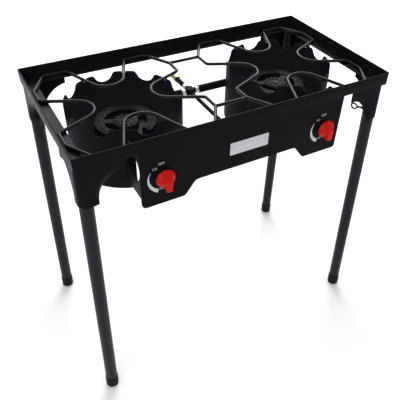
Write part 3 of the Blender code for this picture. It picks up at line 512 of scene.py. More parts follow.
def make_frame():
    """Four mitred rails and the welds inside their corners."""
    rail("front_rail", HALF_X, HALF_Y, 0)
    rail("right_rail", HALF_Y, HALF_X, 90)
    rail("rear_rail", HALF_X, HALF_Y, 180)
    rail("left_rail", HALF_Y, HALF_X, 270)
    for seed, (place, (side_x, side_y)) in enumerate(CORNERS.items()):
        wall_x = side_x * (HALF_X - ANGLE_WALL - 0.3 * MM)
        wall_y = side_y * (HALF_Y - ANGLE_WALL - 0.3 * MM)
        toe_x, toe_y = side_x * (HALF_X - ANGLE + 1 * MM), side_y * (HALF_Y - ANGLE + 1 * MM)
        upright = bead((wall_x, wall_y, SHELF_Z + 1 * MM), (wall_x, wall_y, RIM_Z - 2 * MM),
                       1.8 * MM, seed)
        level = bead((wall_x, wall_y, SHELF_Z - 0.5 * MM), (toe_x, toe_y, SHELF_Z - 0.5 * MM),
                     1.5 * MM, seed + 10)
        piece(shape("corner_weld_" + place, join(upright, level)), WELD, sharp=60)


# Brackets, legs, feet and clips --------------------------------------------------------

def leg_centre(side_x, side_y, height):
    """X and Y of a splayed leg's axis at a height."""
    rise = height / (RAIL_BOTTOM - 1 * MM)
    return (side_x * (LEG_FOOT_X + (LEG_TOP_X - LEG_FOOT_X) * rise),
            side_y * (LEG_FOOT_Y + (LEG_TOP_Y - LEG_FOOT_Y) * rise))


def bracket_sheet(side_x, side_y):
    """Middle surface of a bracket: two plates, their folded lips and the bend round a leg."""
    steps, rising = 24, 14
    corner = {"front": HALF_X - SHEET_INSET, "side": HALF_Y - SHEET_INSET}

    def place(along, depth, height, plate):
        centre_x, centre_y = leg_centre(1, 1, height)
        if plate == "front":
            x, y = corner[plate] - along, centre_y + WRAP - depth
        else:
            x, y = centre_x + WRAP - depth, corner[plate] - along
        return (side_x * x, side_y * y, height)

    bm = bmesh.new()
    grid = {}
    for plate in ("front", "side"):
        for i in range(steps + 1):
            angle = math.radians(90 * i / steps)
            share = max(i - rising, 0) / (steps - rising)
            height = BRACKET_BOTTOM + (BRACKET_TOP - BRACKET_BOTTOM) * min(i / rising, 1)
            tangent = corner[plate] - leg_centre(1, 1, height)[plate == "side"]
            inner = (tangent + (BRACKET_LENGTH - tangent) * share, 0, height)
            bend = (BRACKET_LENGTH - BEND_WIDTH * math.cos(angle), 0,
                    BRACKET_BOTTOM + BEND_HEIGHT * math.sin(angle))
            depth = LIP_DEPTH * min(1, 1.6 * math.cos(angle), 0.2 + 2.2 * math.sin(angle))
            lip = (BRACKET_LENGTH - LIP_WIDTH * math.cos(angle), depth,
                   BRACKET_BOTTOM + LIP_HEIGHT * math.sin(angle))
            knee = (bend[0] + (lip[0] - bend[0]) * 0.12, depth * 0.05,
                    bend[2] + (lip[2] - bend[2]) * 0.12)
            for j, spot in enumerate((inner, bend, knee, lip)):
                grid[plate, i, j] = bm.verts.new(place(*spot, plate))
        for i in range(steps):
            for j in range(3):
                bm.faces.new((grid[plate, i, j], grid[plate, i + 1, j],
                              grid[plate, i + 1, j + 1], grid[plate, i, j + 1]))
    levels = []
    for i in range(rising + 1):
        height = BRACKET_BOTTOM + (BRACKET_TOP - BRACKET_BOTTOM) * i / rising
        centre_x, centre_y = leg_centre(1, 1, height)
        ring = [grid["front", i, 0]]
        for k in range(1, BEND_STEPS):
            angle = math.radians(90 * k / BEND_STEPS)
            ring.append(bm.verts.new((side_x * (centre_x + WRAP * math.sin(angle)),
                                      side_y * (centre_y + WRAP * math.cos(angle)), height)))
        ring.append(grid["side", i, 0])
        levels.append(ring)
    for lower, upper in zip(levels, levels[1:]):
        for k in range(BEND_STEPS):
            bm.faces.new((lower[k], lower[k + 1], upper[k + 1], upper[k]))
    return bm


def bracket(place, side_x, side_y, hole):
    """A bracket of bent sheet, and the weld runs that hold it under the rim."""
    made = shape("bracket_sheet_" + place, bracket_sheet(side_x, side_y))
    thick = made.modifiers.new("sheet", "SOLIDIFY")
    thick.thickness = BRACKET_WALL
    thick.offset = 0
    thick.use_even_offset = True
    bake(made)
    combine(made, hole)
    piece(made, COAT, nodes=("leg_bracket_" + place,), sharp=42)
    z = BRACKET_TOP + 0.3 * MM
    centre_x, centre_y = leg_centre(1, 1, z)
    inner_x, inner_y = centre_x + WRAP - BRACKET_WALL / 2, centre_y + WRAP - BRACKET_WALL / 2
    seams = []
    for n, (start, end) in enumerate(((22, 38), (50, 66), (80, 96))):
        seams.append(bead((side_x * (inner_x - start * MM), side_y * inner_y, z),
                          (side_x * (inner_x - end * MM), side_y * inner_y, z), 1.6 * MM, n))
        seams.append(bead((side_x * inner_x, side_y * (inner_y - start * MM), z),
                          (side_x * inner_x, side_y * (inner_y - end * MM), z), 1.6 * MM, n + 5))
    piece(shape("bracket_weld_" + place, join(*seams)), WELD, sharp=60)


def lean(bm, side_x, side_y):
    """Shear an upright mesh so that it follows a leg's axis."""
    for vert in bm.verts:
        x, y = leg_centre(side_x, side_y, vert.co.z)
        vert.co.x += x
        vert.co.y += y
    return bm


def pin_hole(side_x, side_y):
    """Cutter for a clip's hole, right through the leg and the bracket."""
    x, y = leg_centre(side_x, side_y, PIN_Z)
    reach = 40 * MM
    return turned([(0, -reach), (PIN_HOLE, -reach), (PIN_HOLE, reach), (0, reach)],
                  (x, y, PIN_Z), "Y", 24)


def leg(place, side_x, side_y):
    """A drawn tube with rolled ends."""
    roll = 0.5 * MM
    profile = [(LEG_BORE, LEG_LOW), (LEG_RADIUS, LEG_LOW), (LEG_RADIUS, LEG_TOP - roll),
               (LEG_RADIUS - roll, LEG_TOP), (LEG_BORE + roll, LEG_TOP),
               (LEG_BORE, LEG_TOP - roll)]
    made = shape("leg_tube_" + place, lean(turned(profile, (0, 0, 0)), side_x, side_y))
    combine(made, pin_hole(side_x, side_y))
    piece(made, LEG_COAT, nodes=("leg_" + place,))


def foot(place, side_x, side_y):
    """A push-on cap: rounded sole, grip rings and a soft upper lip."""
    bore = LEG_RADIUS + 0.3 * MM
    sole = arc((FOOT_RADIUS - 5 * MM, 5 * MM), 5 * MM, 270, 360, 6)
    rings = []
    for level in (11, 15, 19):
        rings += [(FOOT_RADIUS, (level - 1.2) * MM), (FOOT_RADIUS - 0.35 * MM, level * MM),
                  (FOOT_RADIUS, (level + 1.2) * MM)]
    lip = arc((FOOT_RADIUS - 0.55 * MM, FOOT_HEIGHT - 0.55 * MM), 0.55 * MM, 0, 90, 3)
    profile = [(0, 0)] + sole + rings + lip + [(bore, FOOT_HEIGHT), (bore, FOOT_FLOOR),
                                               (0, FOOT_FLOOR)]
    made = shape("foot_cap_" + place, lean(turned(profile, (0, 0, 0)), side_x, side_y))
    piece(made, RUBBER, nodes=("foot_" + place,), sharp=50)


def hairpin(place, side_x, side_y):
    """Wire clip: straight shank, coil ring and a waved free arm."""
    x, y = leg_centre(side_x, side_y, PIN_Z)
    inner_wall = abs(y) - LEG_RADIUS
    ring_y = inner_wall - RING_REACH
    aside = x - side_x * CLIP_OFFSET
    tip = abs(y) + WRAP + BRACKET_WALL / 2
    points = [(x, side_y * tip, PIN_Z),
              (x, side_y * (inner_wall - 12 * MM), PIN_Z)]
    steps = 40
    for i in range(steps + 1):
        angle = math.radians(150 - 300 * i / steps)
        points.append((x - side_x * CLIP_OFFSET * i / steps,
                       side_y * (ring_y - RING_WIDE * math.cos(angle)),
                       PIN_Z - RING_DROP + RING_TALL * math.sin(angle)))
    points += [(aside, side_y * (ring_y + 16 * MM), PIN_Z - 1 * MM),
               (aside, side_y * (inner_wall - 6 * MM), PIN_Z + 6.5 * MM),
               (aside, side_y * (inner_wall - 2 * MM), PIN_Z + 6.8 * MM)]
    sizes = [PIN_RADIUS * 0.6] + [PIN_RADIUS] * (len(points) - 2) + [PIN_RADIUS * 0.6]
    points.insert(1, (x, side_y * (tip - 1 * MM), PIN_Z))
    sizes.insert(1, PIN_RADIUS)
    made = shape("hairpin_" + place, tube(points, sizes, up=(1, 0, 0), sides=12))
    piece(made, CLIP, "clip_" + place, ("leg_clip_" + place,), 50)


def make_corners():
    """Bracket, leg, foot and clip at each corner."""
    for place, (side_x, side_y) in CORNERS.items():
        bracket(place, side_x, side_y, pin_hole(side_x, side_y))
        leg(place, side_x, side_y)
        foot(place, side_x, side_y)
        hairpin(place, side_x, side_y)


# Grates --------------------------------------------------------------------------------

def finger(reach, half_width, steps):
    """Round end of a grate finger, with straight legs that start at (reach, half_width)."""
    lowest, highest = 0.0, math.radians(60)
    for _ in range(40):
        slope = (lowest + highest) / 2
        spread = (reach - TIP - FINGER_ROUND) * math.tan(slope)
        if FINGER_ROUND / math.cos(slope) + spread < half_width:
            lowest = slope
        else:
            highest = slope
    turn = math.degrees(slope)
    return arc((TIP + FINGER_ROUND, 0), FINGER_ROUND, 90 + turn, 270 - turn, steps)


def grate_outline():
    """Local plan of one grate, as one closed loop round its burner."""
    steps = 36
    side = finger(GRATE_X, SIDE_FINGER, steps)
    end = [(y, x) for x, y in finger(GRATE_Y, END_FINGER, steps)]
    shoulder = rounded([side[0], (GRATE_X, SIDE_FINGER), (GRATE_X, CHAMFER_Y),
                        (CHAMFER_X, GRATE_Y), (END_FINGER, GRATE_Y), end[0]],
                       WIRE_BEND, 8, closed=False)
    quarter = side[steps // 2::-1] + shoulder + end[:steps // 2 + 1]
    loop = []
    for mirror_x, mirror_y in ((1, 1), (-1, 1), (-1, -1), (1, -1)):
        part = [(mirror_x * x, mirror_y * y) for x, y in quarter]
        if mirror_x * mirror_y < 0:
            part.reverse()
        loop += part[:-1]
    return loop


def make_grates():
    """Two bent-wire grates, the rods that join them, and their welds."""
    outline = grate_outline()
    for side, sign in SIDES.items():
        centre = sign * BURNER_X
        points = [(centre + u, v + GRATE_SHIFT, WIRE_Z) for u, v in outline]
        made = shape(side + "_grate_wire", tube(points, WIRE, closed=True, sides=20))
        piece(made, WIRE_COAT, nodes=(side + "_grate",), sharp=80)
        beads = []
        low = SHELF_Z + 0.4 * MM
        for seed, mirror_y in enumerate((-1, 1)):
            for mirror_x in (-1, 1):
                x = centre + mirror_x * (END_FINGER + 22 * MM)
                y = mirror_y * (GRATE_Y - WIRE) + GRATE_SHIFT
                beads.append(bead((x - 9 * MM, y, low), (x + 9 * MM, y, low),
                                  2.2 * MM, seed))
            x = centre + sign * (GRATE_X - WIRE)
            y = mirror_y * (SIDE_FINGER + 20 * MM) + GRATE_SHIFT
            beads.append(bead((x, y - 9 * MM, low), (x, y + 9 * MM, low), 2.2 * MM, seed + 4))
        piece(shape(side + "_grate_weld", join(*beads)), WELD, sharp=60)
    for place, sign in {"front": -1, "rear": 1}.items():
        low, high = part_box(place + "_link_wire")
        y, roll = (low.y + high.y) / 2, 0.6 * MM
        points = [(low.x, y, WIRE_Z), (low.x + roll, y, WIRE_Z), (0, y, WIRE_Z),
                  (high.x - roll, y, WIRE_Z), (high.x, y, WIRE_Z)]
        sizes = [WIRE - roll, WIRE, WIRE, WIRE, WIRE - roll]
        made = shape(place + "_link_rod", tube(points, sizes, sides=20))
        piece(made, WIRE_COAT, nodes=(place + "_link_wire",))
        beads = []
        for seed, (edge, inward) in enumerate(((low.x, 1), (high.x, -1))):
            for over in (-1, 1):
                z = WIRE_Z + over * 2.6 * MM
                beads.append(bead((edge - inward * 1.5 * MM, y - 4 * MM, z),
                                  (edge - inward * 1.5 * MM, y + 4 * MM, z), 1.7 * MM, seed))
        piece(shape(place + "_link_weld", join(*beads)), WELD, sharp=60)


# Wind guards ---------------------------------------------------------------------------

def wire_angles():
    """Where the eight finger legs cross the guard wall, in degrees from +X."""
    found = []
    wall = GUARD_RADIUS - GUARD_WALL / 2
    for swap, (reach, half_width) in enumerate(((GRATE_X, SIDE_FINGER),
                                                (GRATE_Y, END_FINGER))):
        touch = Vector(finger(reach, half_width, 8)[0])
        run = Vector((reach, half_width)) - touch
        if swap:
            touch, run = touch.yx, run.yx
        for mirror_x, mirror_y in ((1, 1), (-1, 1), (-1, -1), (1, -1)):
            mirror = Vector((mirror_x, mirror_y))
            start, path = touch * mirror + Vector((0, GRATE_SHIFT - GUARD_Y)), run * mirror
            spots = [start + path * i / 2000 for i in range(2001)]
            spot = min(spots, key=lambda point: abs(point.length - wall))
            found.append(math.degrees(math.atan2(spot.y, spot.x)) % 360)
    return found


def guard_columns():
    """Columns of (angle from +X in degrees, top, bottom) right round the wall."""
    per_degree = math.pi * GUARD_RADIUS / 180
    pitch = 360 / NOTCHES
    radius = (NOTCH_HALF ** 2 + NOTCH_DEPTH ** 2) / (2 * NOTCH_DEPTH)
    slot_half = (WIRE + 0.7 * MM) / per_degree
    slot_round = WIRE + 0.7 * MM
    step = 0.02

    def top_at(angle):
        """Height of the scalloped edge at an angle."""
        distance = abs((angle + pitch / 2) % pitch - pitch / 2) * per_degree
        if distance < NOTCH_HALF:
            return GUARD_TOP - NOTCH_DEPTH + radius - math.sqrt(radius ** 2 - distance ** 2)
        past = min(distance - NOTCH_HALF, TAB_ROUND)
        drop = TAB_ROUND - math.sqrt(TAB_ROUND ** 2 - (TAB_ROUND - past) ** 2)
        return GUARD_TOP - drop

    wires = wire_angles()
    angles = [0.75 * n for n in range(480)]
    angles = [a for a in angles if all(abs(a - w) > slot_half + step for w in wires)]
    columns = [(a, top_at(a)) for a in angles]
    for wire in wires:
        for sign in (-1, 1):
            columns.append((wire + sign * (slot_half + step), top_at(wire + sign * slot_half)))
        for k in range(-6, 7):
            share = math.sin(math.radians(15 * k))
            dip = slot_round * (1 - math.sqrt(1 - share ** 2))
            columns.append((wire + slot_half * share, WIRE_Z - slot_round + dip))
    window = math.degrees(math.asin(WINDOW_HALF / GUARD_RADIUS))
    corner = 5 * MM
    edges = []
    for angle, top in columns:
        away = (window - abs(angle - 270)) * per_degree
        bottom = GUARD_BOTTOM
        if away > 0:
            inside = max(corner - away, 0)
            bottom = WINDOW_TOP - corner + math.sqrt(corner ** 2 - inside ** 2)
        edges.append((angle, top, bottom))
    for sign in (-1, 1):
        angle = 270 + sign * window
        edges.append((angle - sign * step, top_at(angle), WINDOW_TOP - corner))
        edges.append((angle + sign * step, top_at(angle), GUARD_BOTTOM))
    return sorted(edges)


def wind_guard(side, centre_x):
    """The rolled sheet wall, with a small chamfer along its edges."""
    bm = bmesh.new()
    rings = []
    for angle, top, bottom in guard_columns():
        ray = Vector((math.cos(math.radians(angle)), math.sin(math.radians(angle)), 0))
        ring = []
        nib = 0.25 * MM
        for radius, height in (
                (GUARD_RADIUS, bottom + nib), (GUARD_RADIUS, top - nib),
                (GUARD_RADIUS - nib, top), (GUARD_RADIUS - GUARD_WALL + nib, top),
                (GUARD_RADIUS - GUARD_WALL, top - nib),
                (GUARD_RADIUS - GUARD_WALL, bottom + nib),
                (GUARD_RADIUS - GUARD_WALL + nib, bottom), (GUARD_RADIUS - nib, bottom)):
            ring.append(bm.verts.new(ray * radius + Vector((centre_x, GUARD_Y, height))))
        rings.append(ring)
    bridge(bm, rings, closed=True)
    made = shape(side + "_guard_sheet", bm)
    piece(made, GUARD_COAT, nodes=(side + "_wind_guard",), sharp=40)
    guard_seam(side, centre_x)


def guard_seam(side, centre_x):
    """The lap joint at the back of the rolled sheet, with its row of spot welds."""
    inner, outer = GUARD_RADIUS - 0.2 * MM, GUARD_RADIUS + 0.9 * MM
    low, high = GUARD_BOTTOM + 2 * MM, GUARD_TOP - NOTCH_DEPTH - 4 * MM
    strap = turned([(inner, low), (outer, low), (outer, high), (inner, high)],
                   (centre_x, GUARD_Y, 0), "Z", 8, 87, 6)
    made = shape(side + "_guard_seam", strap)
    soften(made, 0.3 * MM, 2)
    piece(made, COAT)
    spots = []
    for n in range(6):
        z = GUARD_BOTTOM + (14 + 22 * n) * MM
        spots.append(turned([(0, -0.5 * MM), (2.6 * MM, -0.5 * MM), (3.2 * MM, 0.1 * MM),
                             (2.4 * MM, 0.5 * MM), (1.2 * MM, 0.1 * MM), (0, 0.05 * MM)],
                            (centre_x, GUARD_Y + outer, z), "Y", 20))
    for spot in spots:
        for vert in spot.verts:
            vert.co.y = 2 * (GUARD_Y + outer) - vert.co.y
    piece(shape(side + "_seam_spots", join(*spots)), WELD, sharp=60)


# Burners -------------------------------------------------------------------------------

def slots(centre, inner, outer, width, angles):
    """Radial port slots in the burner's top, as one cutter."""
    low, high = BURNER_TOP - SLOT_DEPTH, BURNER_TOP + 2 * MM
    cutters = []
    for angle in angles:
        bar = box_mesh((inner, -width / 2, low), (outer, width / 2, high))
        cutters.append(swing(bar, angle, centre))
    return join(*cutters)


def burner_casting(name):
    """Ring with stepped skirt and port slots, ribbed arms, hub and mixing tube, at X = 0."""
    top, low = BURNER_TOP, BURNER_TOP - RING_HEIGHT
    centre = (0, GUARD_Y, 0)
    ring = [(RING_IN, low), (RING_IN, top - 2 * MM), (RING_IN + 1.5 * MM, top - 0.3 * MM),
            (RING_IN + 2.5 * MM, top), (63.2 * MM, top), (64 * MM, top - 1.4 * MM),
            (65 * MM, top - 1.4 * MM), (65.8 * MM, top), (72.5 * MM, top),
            (74.4 * MM, top - 1 * MM), (75 * MM, top - 3 * MM), (75.2 * MM, top - 11 * MM),
            (76.4 * MM, top - 12.4 * MM), (78 * MM, top - 12.6 * MM),
            (78.6 * MM, top - 14.6 * MM), (81.2 * MM, top - 15 * MM),
            (SKIRT_RADIUS, top - 16 * MM), (SKIRT_RADIUS, low)]
    start, sweep = RING_GAP - 90, 360 - 2 * RING_GAP
    made = shape(name, turned(ring, centre, "Z", 96, start, sweep))
    hub = [(0, HUB_BOTTOM), (22 * MM, HUB_BOTTOM), (HUB_RADIUS, HUB_BOTTOM + 12 * MM),
           (HUB_RADIUS, top - 4 * MM), (HUB_RADIUS - 1 * MM, top - 2.4 * MM),
           (HUB_RADIUS - 5 * MM, top - 0.6 * MM), (16 * MM, top - 0.4 * MM),
           (15 * MM, top - 1.6 * MM), (11 * MM, top - 1.8 * MM), (9.5 * MM, top - 0.2 * MM),
           (0, top)]
    combine(made, turned(hub, centre, "Z", 64), "UNION")
    # Painted shade: a dark iron sheet closes the gaps between hub and ring, so that they show
    # black like shade
    shade_web_in, shade_web_low = HUB_RADIUS - 4 * MM, low + 0.5 * MM
    shade_web = [(shade_web_in, shade_web_low), (SHADE_WEB_RADIUS, shade_web_low),
           (SHADE_WEB_RADIUS, shade_web_low + SHADE_WEB_THICK), (shade_web_in, shade_web_low + SHADE_WEB_THICK)]
    combine(made, turned(shade_web, centre, "Z", 72), "UNION")
    for angle in ARM_ANGLES:
        outline = rounded([(-11 * MM, low + 1 * MM), (11 * MM, low + 1 * MM),
                           (10 * MM, top - 2.6 * MM), (-10 * MM, top - 2.6 * MM)],
                          [0.5 * MM, 0.5 * MM, 3 * MM, 3 * MM], 4)
        arm = prism(outline, HUB_RADIUS - 12 * MM, RING_IN + 5 * MM, "X")
        combine(made, swing(arm, angle, centre), "UNION")
    axis = (0, GUARD_Y, VALVE_Z)
    flare = arc((MOUTH_RADIUS - 3 * MM, MOUTH_REACH - 3 * MM), 3 * MM, 0, 90, 4)
    mixer = [(0, 20 * MM), (MIXER_RADIUS, 20 * MM), (MIXER_RADIUS, 118 * MM),
             (MIXER_RADIUS + 1.2 * MM, 126 * MM), (MOUTH_RADIUS - 1 * MM, 146 * MM),
             (MOUTH_RADIUS, 151 * MM)] + flare + [(0, MOUTH_REACH)]
    combine(made, turned(mixer, axis, "Y", 48), "UNION")
    throat = [(0, 0), (12 * MM, 0), (12 * MM, 124 * MM), (MOUTH_RADIUS - 4.5 * MM, 148 * MM),
              (MOUTH_RADIUS - 3 * MM, MOUTH_REACH + 8 * MM), (0, MOUTH_REACH + 8 * MM)]
    combine(made, turned(throat, axis, "Y", 40))
    inner = [start + sweep * (n + 0.5) / INNER_SLOTS for n in range(INNER_SLOTS)]
    outer = [start + sweep * (n + 0.5) / OUTER_SLOTS for n in range(OUTER_SLOTS)]
    round_hub = [360 * (n + 0.5) / HUB_SLOTS for n in range(HUB_SLOTS)]
    combine(made, slots(centre, 54 * MM, 62 * MM, 2.6 * MM, inner))
    combine(made, slots(centre, 67 * MM, 71.5 * MM, 2.4 * MM, outer))
    combine(made, slots(centre, 18 * MM, 27.5 * MM, 3.6 * MM, round_hub))
    return made


def make_burners():
    """Both burners with their guards, straps, studs and shutters."""
    first = burner_casting("left_burner_casting")
    second = add("right_burner_casting", first.data.copy())
    for made, (side, sign) in zip((first, second), SIDES.items()):
        made.data.transform(Matrix.Translation((sign * BURNER_X, 0, 0)))
        piece(made, IRON, nodes=(side + "_burner",), sharp=38)
        wind_guard(side, sign * BURNER_X)
        refine(side + "_burner_strap", COAT, 0.5 * MM)
        refine(side + "_burner_stud", ZINC, 0.3 * MM)
        refine(side + "_stud_nut", ZINC, 0.35 * MM)
        refine(side + "_air_shutter", COAT, 0.2 * MM, body=side + "_shutter")
        shutter_tab(side, sign * BURNER_X)


def shutter_tab(side, centre_x):
    """Wing tab on the air shutter, for turning it by hand."""
    low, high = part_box(side + "_air_shutter")
    foot_half, tip_half = 5 * MM, 4 * MM
    base, tip = high.z - 3 * MM, high.z + 5 * MM
    corners = [(centre_x - foot_half, base), (centre_x + foot_half, base),
               (centre_x + tip_half, tip), (centre_x - tip_half, tip)]
    outline = rounded(corners, [0.5 * MM, 0.5 * MM, 2 * MM, 2 * MM], 4)
    made = shape(side + "_shutter_tab", prism(outline, low.y, high.y, "Y"))
    soften(made, 0.25 * MM)
    piece(made, COAT, side + "_shutter")


# Panel, plate and knobs ----------------------------------------------------------------

def dial(side, centre_x):
    """Printed marks round a knob: a wedge that grows from low to high, and its words."""
    face, proud = PANEL_FACE - 0.02 * MM, 0.1 * MM
    steps = 28
    inner, outer = [], []
    for i in range(steps + 1):
        angle = math.radians(DIAL_START + DIAL_SWEEP * i / steps)
        edge = DIAL_RADIUS + 0.3 * MM + DIAL_SPREAD * (i / steps) ** 0.8
        for line, radius in ((inner, DIAL_RADIUS), (outer, edge)):
            line.append((centre_x + radius * math.cos(angle), VALVE_Z + radius * math.sin(angle)))
    wedge = shape(side + "_dial_wedge", prism(outer + inner[::-1], face - proud, face, "Y"))
    piece(wedge, PRINT)
    for word, x, z in DIAL_WORDS:
        text = bpy.data.curves.new(word, "FONT")
        text.body = word
        text.size = LETTER_SIZE
        text.space_character = 1.08
        text.align_x = "CENTER"
        text.align_y = "CENTER"
        text.extrude = proud / 2
        held = add(word, text)
        bpy.context.view_layer.update()
        graph = bpy.context.evaluated_depsgraph_get()
        mesh = bpy.data.meshes.new_from_object(held.evaluated_get(graph))
        bpy.data.objects.remove(held, do_unlink=True)
        turn = Matrix.Rotation(math.radians(90), 4, "X")
        spot = (centre_x + x, face - proud / 2, VALVE_Z + z)
        mesh.transform(Matrix.Translation(spot) @ turn)
        piece(add("%s_dial_%s" % (side, word.lower()), mesh), PRINT)


def knob(side, centre_x):
    """Glossy knob: hub, thin rim, a cone, and a grip bar whose top slopes into the cone."""
    centre = (centre_x, 0, VALVE_Z)
    back, disc_back, face, top = -KNOB_BACK, -KNOB_DISC_BACK, -KNOB_FACE, -CONE_TOP
    low_rim = arc((KNOB_RADIUS - 1 * MM, disc_back + 1 * MM), 1 * MM, 270, 360, 3)
    rim = arc((KNOB_RADIUS - 1.2 * MM, face - 1.2 * MM), 1.2 * MM, 0, 50, 3)
    start, bulge, end = rim[-1], (17 * MM, face + 6.5 * MM), (CONE_RADIUS, top - 2 * MM)
    slope = []
    for i in range(1, 13):
        share = i / 12
        slope.append([(1 - share) ** 2 * a + 2 * share * (1 - share) * b + share ** 2 * c
                      for a, b, c in zip(start, bulge, end)])
    nose = arc((CONE_RADIUS - 2 * MM, top - 2 * MM), 2 * MM, 20, 90, 4)
    bore = STEM_RADIUS + 0.3 * MM
    profile = [(bore, back), (KNOB_HUB - 0.6 * MM, back), (KNOB_HUB, back + 0.6 * MM),
               (KNOB_HUB, disc_back)] + low_rim + rim + slope + nose
    profile += [(0, top), (0, back + KNOB_BORE), (bore, back + KNOB_BORE)]
    made = shape(side + "_knob_body", turned(profile, centre, "Y", 72))
    side_view = [(KNOB_FACE + 2 * MM, -GRIP_REACH + 3 * MM), (KNOB_FACE + 2 * MM, GRIP_TAIL),
                 (KNOB_FACE - 1 * MM, GRIP_TAIL), (KNOB_FRONT, 2.5 * MM),
                 (KNOB_FRONT, -GRIP_REACH + 1 * MM), (KNOB_FRONT + 1 * MM, -GRIP_REACH)]
    grip = bmesh.new()
    flanks = []
    for sign in (-1, 1):
        ring = []
        for y, rise in side_view:
            half = GRIP_LOW + (GRIP_HIGH - GRIP_LOW) * (rise + GRIP_REACH) / (2 * GRIP_REACH)
            half -= 0.7 * MM * (KNOB_FACE - y) / (KNOB_FACE - KNOB_FRONT)
            ring.append(grip.verts.new((centre_x + sign * half, y, VALVE_Z + rise)))
        flanks.append(ring)
    bridge(grip, flanks)
    bmesh.ops.recalc_face_normals(grip, faces=grip.faces)
    bmesh.ops.bevel(grip, geom=grip.edges, offset=1.3 * MM, segments=4, profile=0.5,
                    affect="EDGES", clamp_overlap=True)
    combine(made, grip, "UNION")
    piece(made, KNOB_RED, side + "_control", (side + "_knob",), 32)


def name_plate():
    """Blank plate: rounded corners and a raised border pressed into the sheet."""
    corner, edge, rise = 2.2 * MM, 2.2 * MM, 0.25 * MM
    front, back = PLATE_LOW.y, PLATE_HIGH.y

    def outline(inset):
        corners = [(PLATE_LOW.x + inset, PLATE_LOW.z + inset),
                   (PLATE_HIGH.x - inset, PLATE_LOW.z + inset),
                   (PLATE_HIGH.x - inset, PLATE_HIGH.z - inset),
                   (PLATE_LOW.x + inset, PLATE_HIGH.z - inset)]
        return rounded(corners, max(corner - inset, 0.6 * MM), 5)

    bm = bmesh.new()
    levels = [(0, back), (0, front + 0.3 * MM), (0.3 * MM, front), (edge - 0.6 * MM, front),
              (edge, front + rise), (edge + 0.5 * MM, front + rise)]
    rings = []
    for inset, y in levels:
        rings.append([bm.verts.new((x, y, z)) for x, z in outline(inset)])
    bridge(bm, rings)
    made = shape("name_plate_sheet", bm)
    near, far = -back - 8 * MM, -front + 8 * MM
    for sign in (-1, 1):
        hole = [(0, near), (RIVET_HOLE, near), (RIVET_HOLE, far), (0, far)]
        combine(made, turned(hole, (sign * RIVET_X, 0, PLATE_Z), "Y", 24))
    flatten(piece(made, PLATE, nodes=("name_plate",), sharp=30))


def rivets():
    """Domed blind rivets, with a dimple where the mandrel broke off."""
    for side, sign in SIDES.items():
        low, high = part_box("plate_rivet_" + side)
        front, tail = -low.y, -high.y
        dome = [(0, front - 0.5 * MM), (0.7 * MM, front - 0.4 * MM), (0.9 * MM, front),
                (1.8 * MM, front - 0.2 * MM), (2.6 * MM, front - 0.8 * MM),
                (3 * MM, front - 1.5 * MM)]
        shank = [(1.5 * MM, front - 1.5 * MM), (1.5 * MM, tail + 1.1 * MM),
                 (2.6 * MM, tail + 1.0 * MM), (2 * MM, tail), (0, tail)]
        centre = (sign * RIVET_X, 0, PLATE_Z)
        made = shape("rivet_head_" + side, turned(dome + shank, centre, "Y", 32))
        piece(made, ZINC, nodes=("plate_rivet_" + side,))


def make_controls():
    """Panel, plate, dials, knobs, and the valves and manifold behind them."""
    refine("control_panel", COAT, 0.35 * MM)
    name_plate()
    rivets()
    for side, sign in SIDES.items():
        dial(side, sign * BURNER_X)
        knob(side, sign * BURNER_X)
        refine(side + "_valve", BRASS, 0.3 * MM)
        refine(side + "_valve_stem", ZINC, 0.3 * MM, body=side + "_control")
        refine("panel_screw_" + side, ZINC, 0.4 * MM)
        refine("manifold_cap_" + side, ZINC, 0.4 * MM)
    refine("manifold_pipe", COAT, 0.4 * MM)


# Gas line ------------------------------------------------------------------------------

def hose_inlet():
    """Brass flare union: hexagon, groove and threaded nose."""
    node = "hose_inlet"
    low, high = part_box(node)
    x, z = (low.x + high.x) / 2, (low.z + high.z) / 2
    across = 17.5 * MM
    start, end = -high.y, -low.y
    corner = across / math.sqrt(3)
    collar = turned([(3.4 * MM, end - 14.5 * MM), (corner - 1 * MM, end - 14.5 * MM),
                     (corner, end - 13.6 * MM), (corner, end - 0.9 * MM),
                     (corner - 1 * MM, end), (3.4 * MM, end)], (x, 0, z), "Y", 6)
    nose = [(3.4 * MM, start), (5.6 * MM, start), (6.6 * MM, start + 1.4 * MM)]
    pitch = 1.3 * MM
    for n in range(10):
        level = start + 2 * MM + n * pitch
        nose += [(7.9 * MM, level + 0.3 * pitch), (7.9 * MM, level + 0.5 * pitch),
                 (7.1 * MM, level + 0.95 * pitch)]
    nose += [(6.4 * MM, start + 16 * MM), (6.4 * MM, end - 13 * MM), (3.4 * MM, end - 13 * MM)]
    made = shape("flare_union", turned(nose, (x, 0, z), "Y", 48))
    combine(made, collar, "UNION")
    piece(made, BRASS, nodes=(node,), sharp=30)


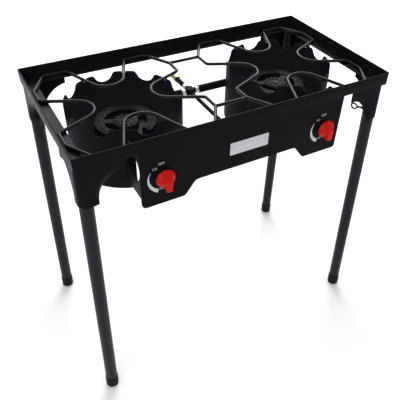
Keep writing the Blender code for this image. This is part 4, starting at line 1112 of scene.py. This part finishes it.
def make_gas_line():
    """Hose union, inlet, cross, and the tubes that lead from it."""
    hose_inlet()
    refine("gas_cross", COAT, 0.6 * MM)
    for node in ("inlet_nut", "arm_nut_left", "arm_nut_right"):
        refine(node, ZINC, 0.4 * MM)
    for node in ("inlet_pipe", "feed_tube", "cross_arm_left", "cross_arm_right"):
        refine(node, COAT, 0.25 * MM)


# Stage ---------------------------------------------------------------------------------

def area_light(name, spot, target, size, power):
    """A rectangular lamp at a spot, turned to face a target."""
    lamp = bpy.data.lights.new(name, "AREA")
    lamp.shape = "RECTANGLE"
    lamp.size, lamp.size_y = size
    lamp.energy = power
    made = add(name, lamp)
    made.location = spot
    made.rotation_euler = (Vector(target) - Vector(spot)).to_track_quat("-Z", "Y").to_euler()


def make_stage():
    """Pale floor, pale world, a large soft light behind and above, and a weak front fill."""
    floor = box_mesh((-FLOOR_REACH, -FLOOR_REACH, -20 * MM), (FLOOR_REACH, FLOOR_REACH, -0.2 * MM))
    ground = shape("studio_floor", floor)
    pale = finish("floor_paint", ((0.88, 0.88, 0.88), (0.90, 0.90, 0.90)), (0.85, 0.95),
                  specular=0.1, grain=(60, 0.05, 0.0005), patch=2)
    ground.data.materials.append(pale)
    world = bpy.data.worlds.new("studio")
    world.use_nodes = True
    glow = world.node_tree.nodes["Background"]
    glow.inputs["Color"].default_value = (1, 1, 1, 1)
    glow.inputs["Strength"].default_value = WORLD_LIGHT
    bpy.context.scene.world = world
    middle = (0, 0, RIM_Z * 0.8)
    area_light("back_top", (2.1, 3.7, 3.1), middle, (3.4, 2.4), 230)
    area_light("front_fill", (-2.6, -2.4, 2.2), middle, (2.0, 2.0), 30)


def make_camera():
    """The camera for the main picture: over the front left corner, looking down."""
    lens = bpy.data.cameras.new("view")
    lens.sensor_width = 36
    lens.lens = LENS
    lens.shift_x, lens.shift_y = LENS_SHIFT
    made = add("view", lens)
    forward, right = VIEW_FORWARD.normalized(), VIEW_RIGHT.normalized()
    turn = Matrix((right, right.cross(forward), -forward)).transposed()
    made.matrix_world = Matrix.Translation(VIEW_FROM) @ turn.to_4x4()
    bpy.context.scene.camera = made
    bpy.context.scene.view_settings.view_transform = "Standard"


make_camera()
make_stage()
make_frame()
make_corners()
make_grates()
make_burners()
make_controls()
make_gas_line()
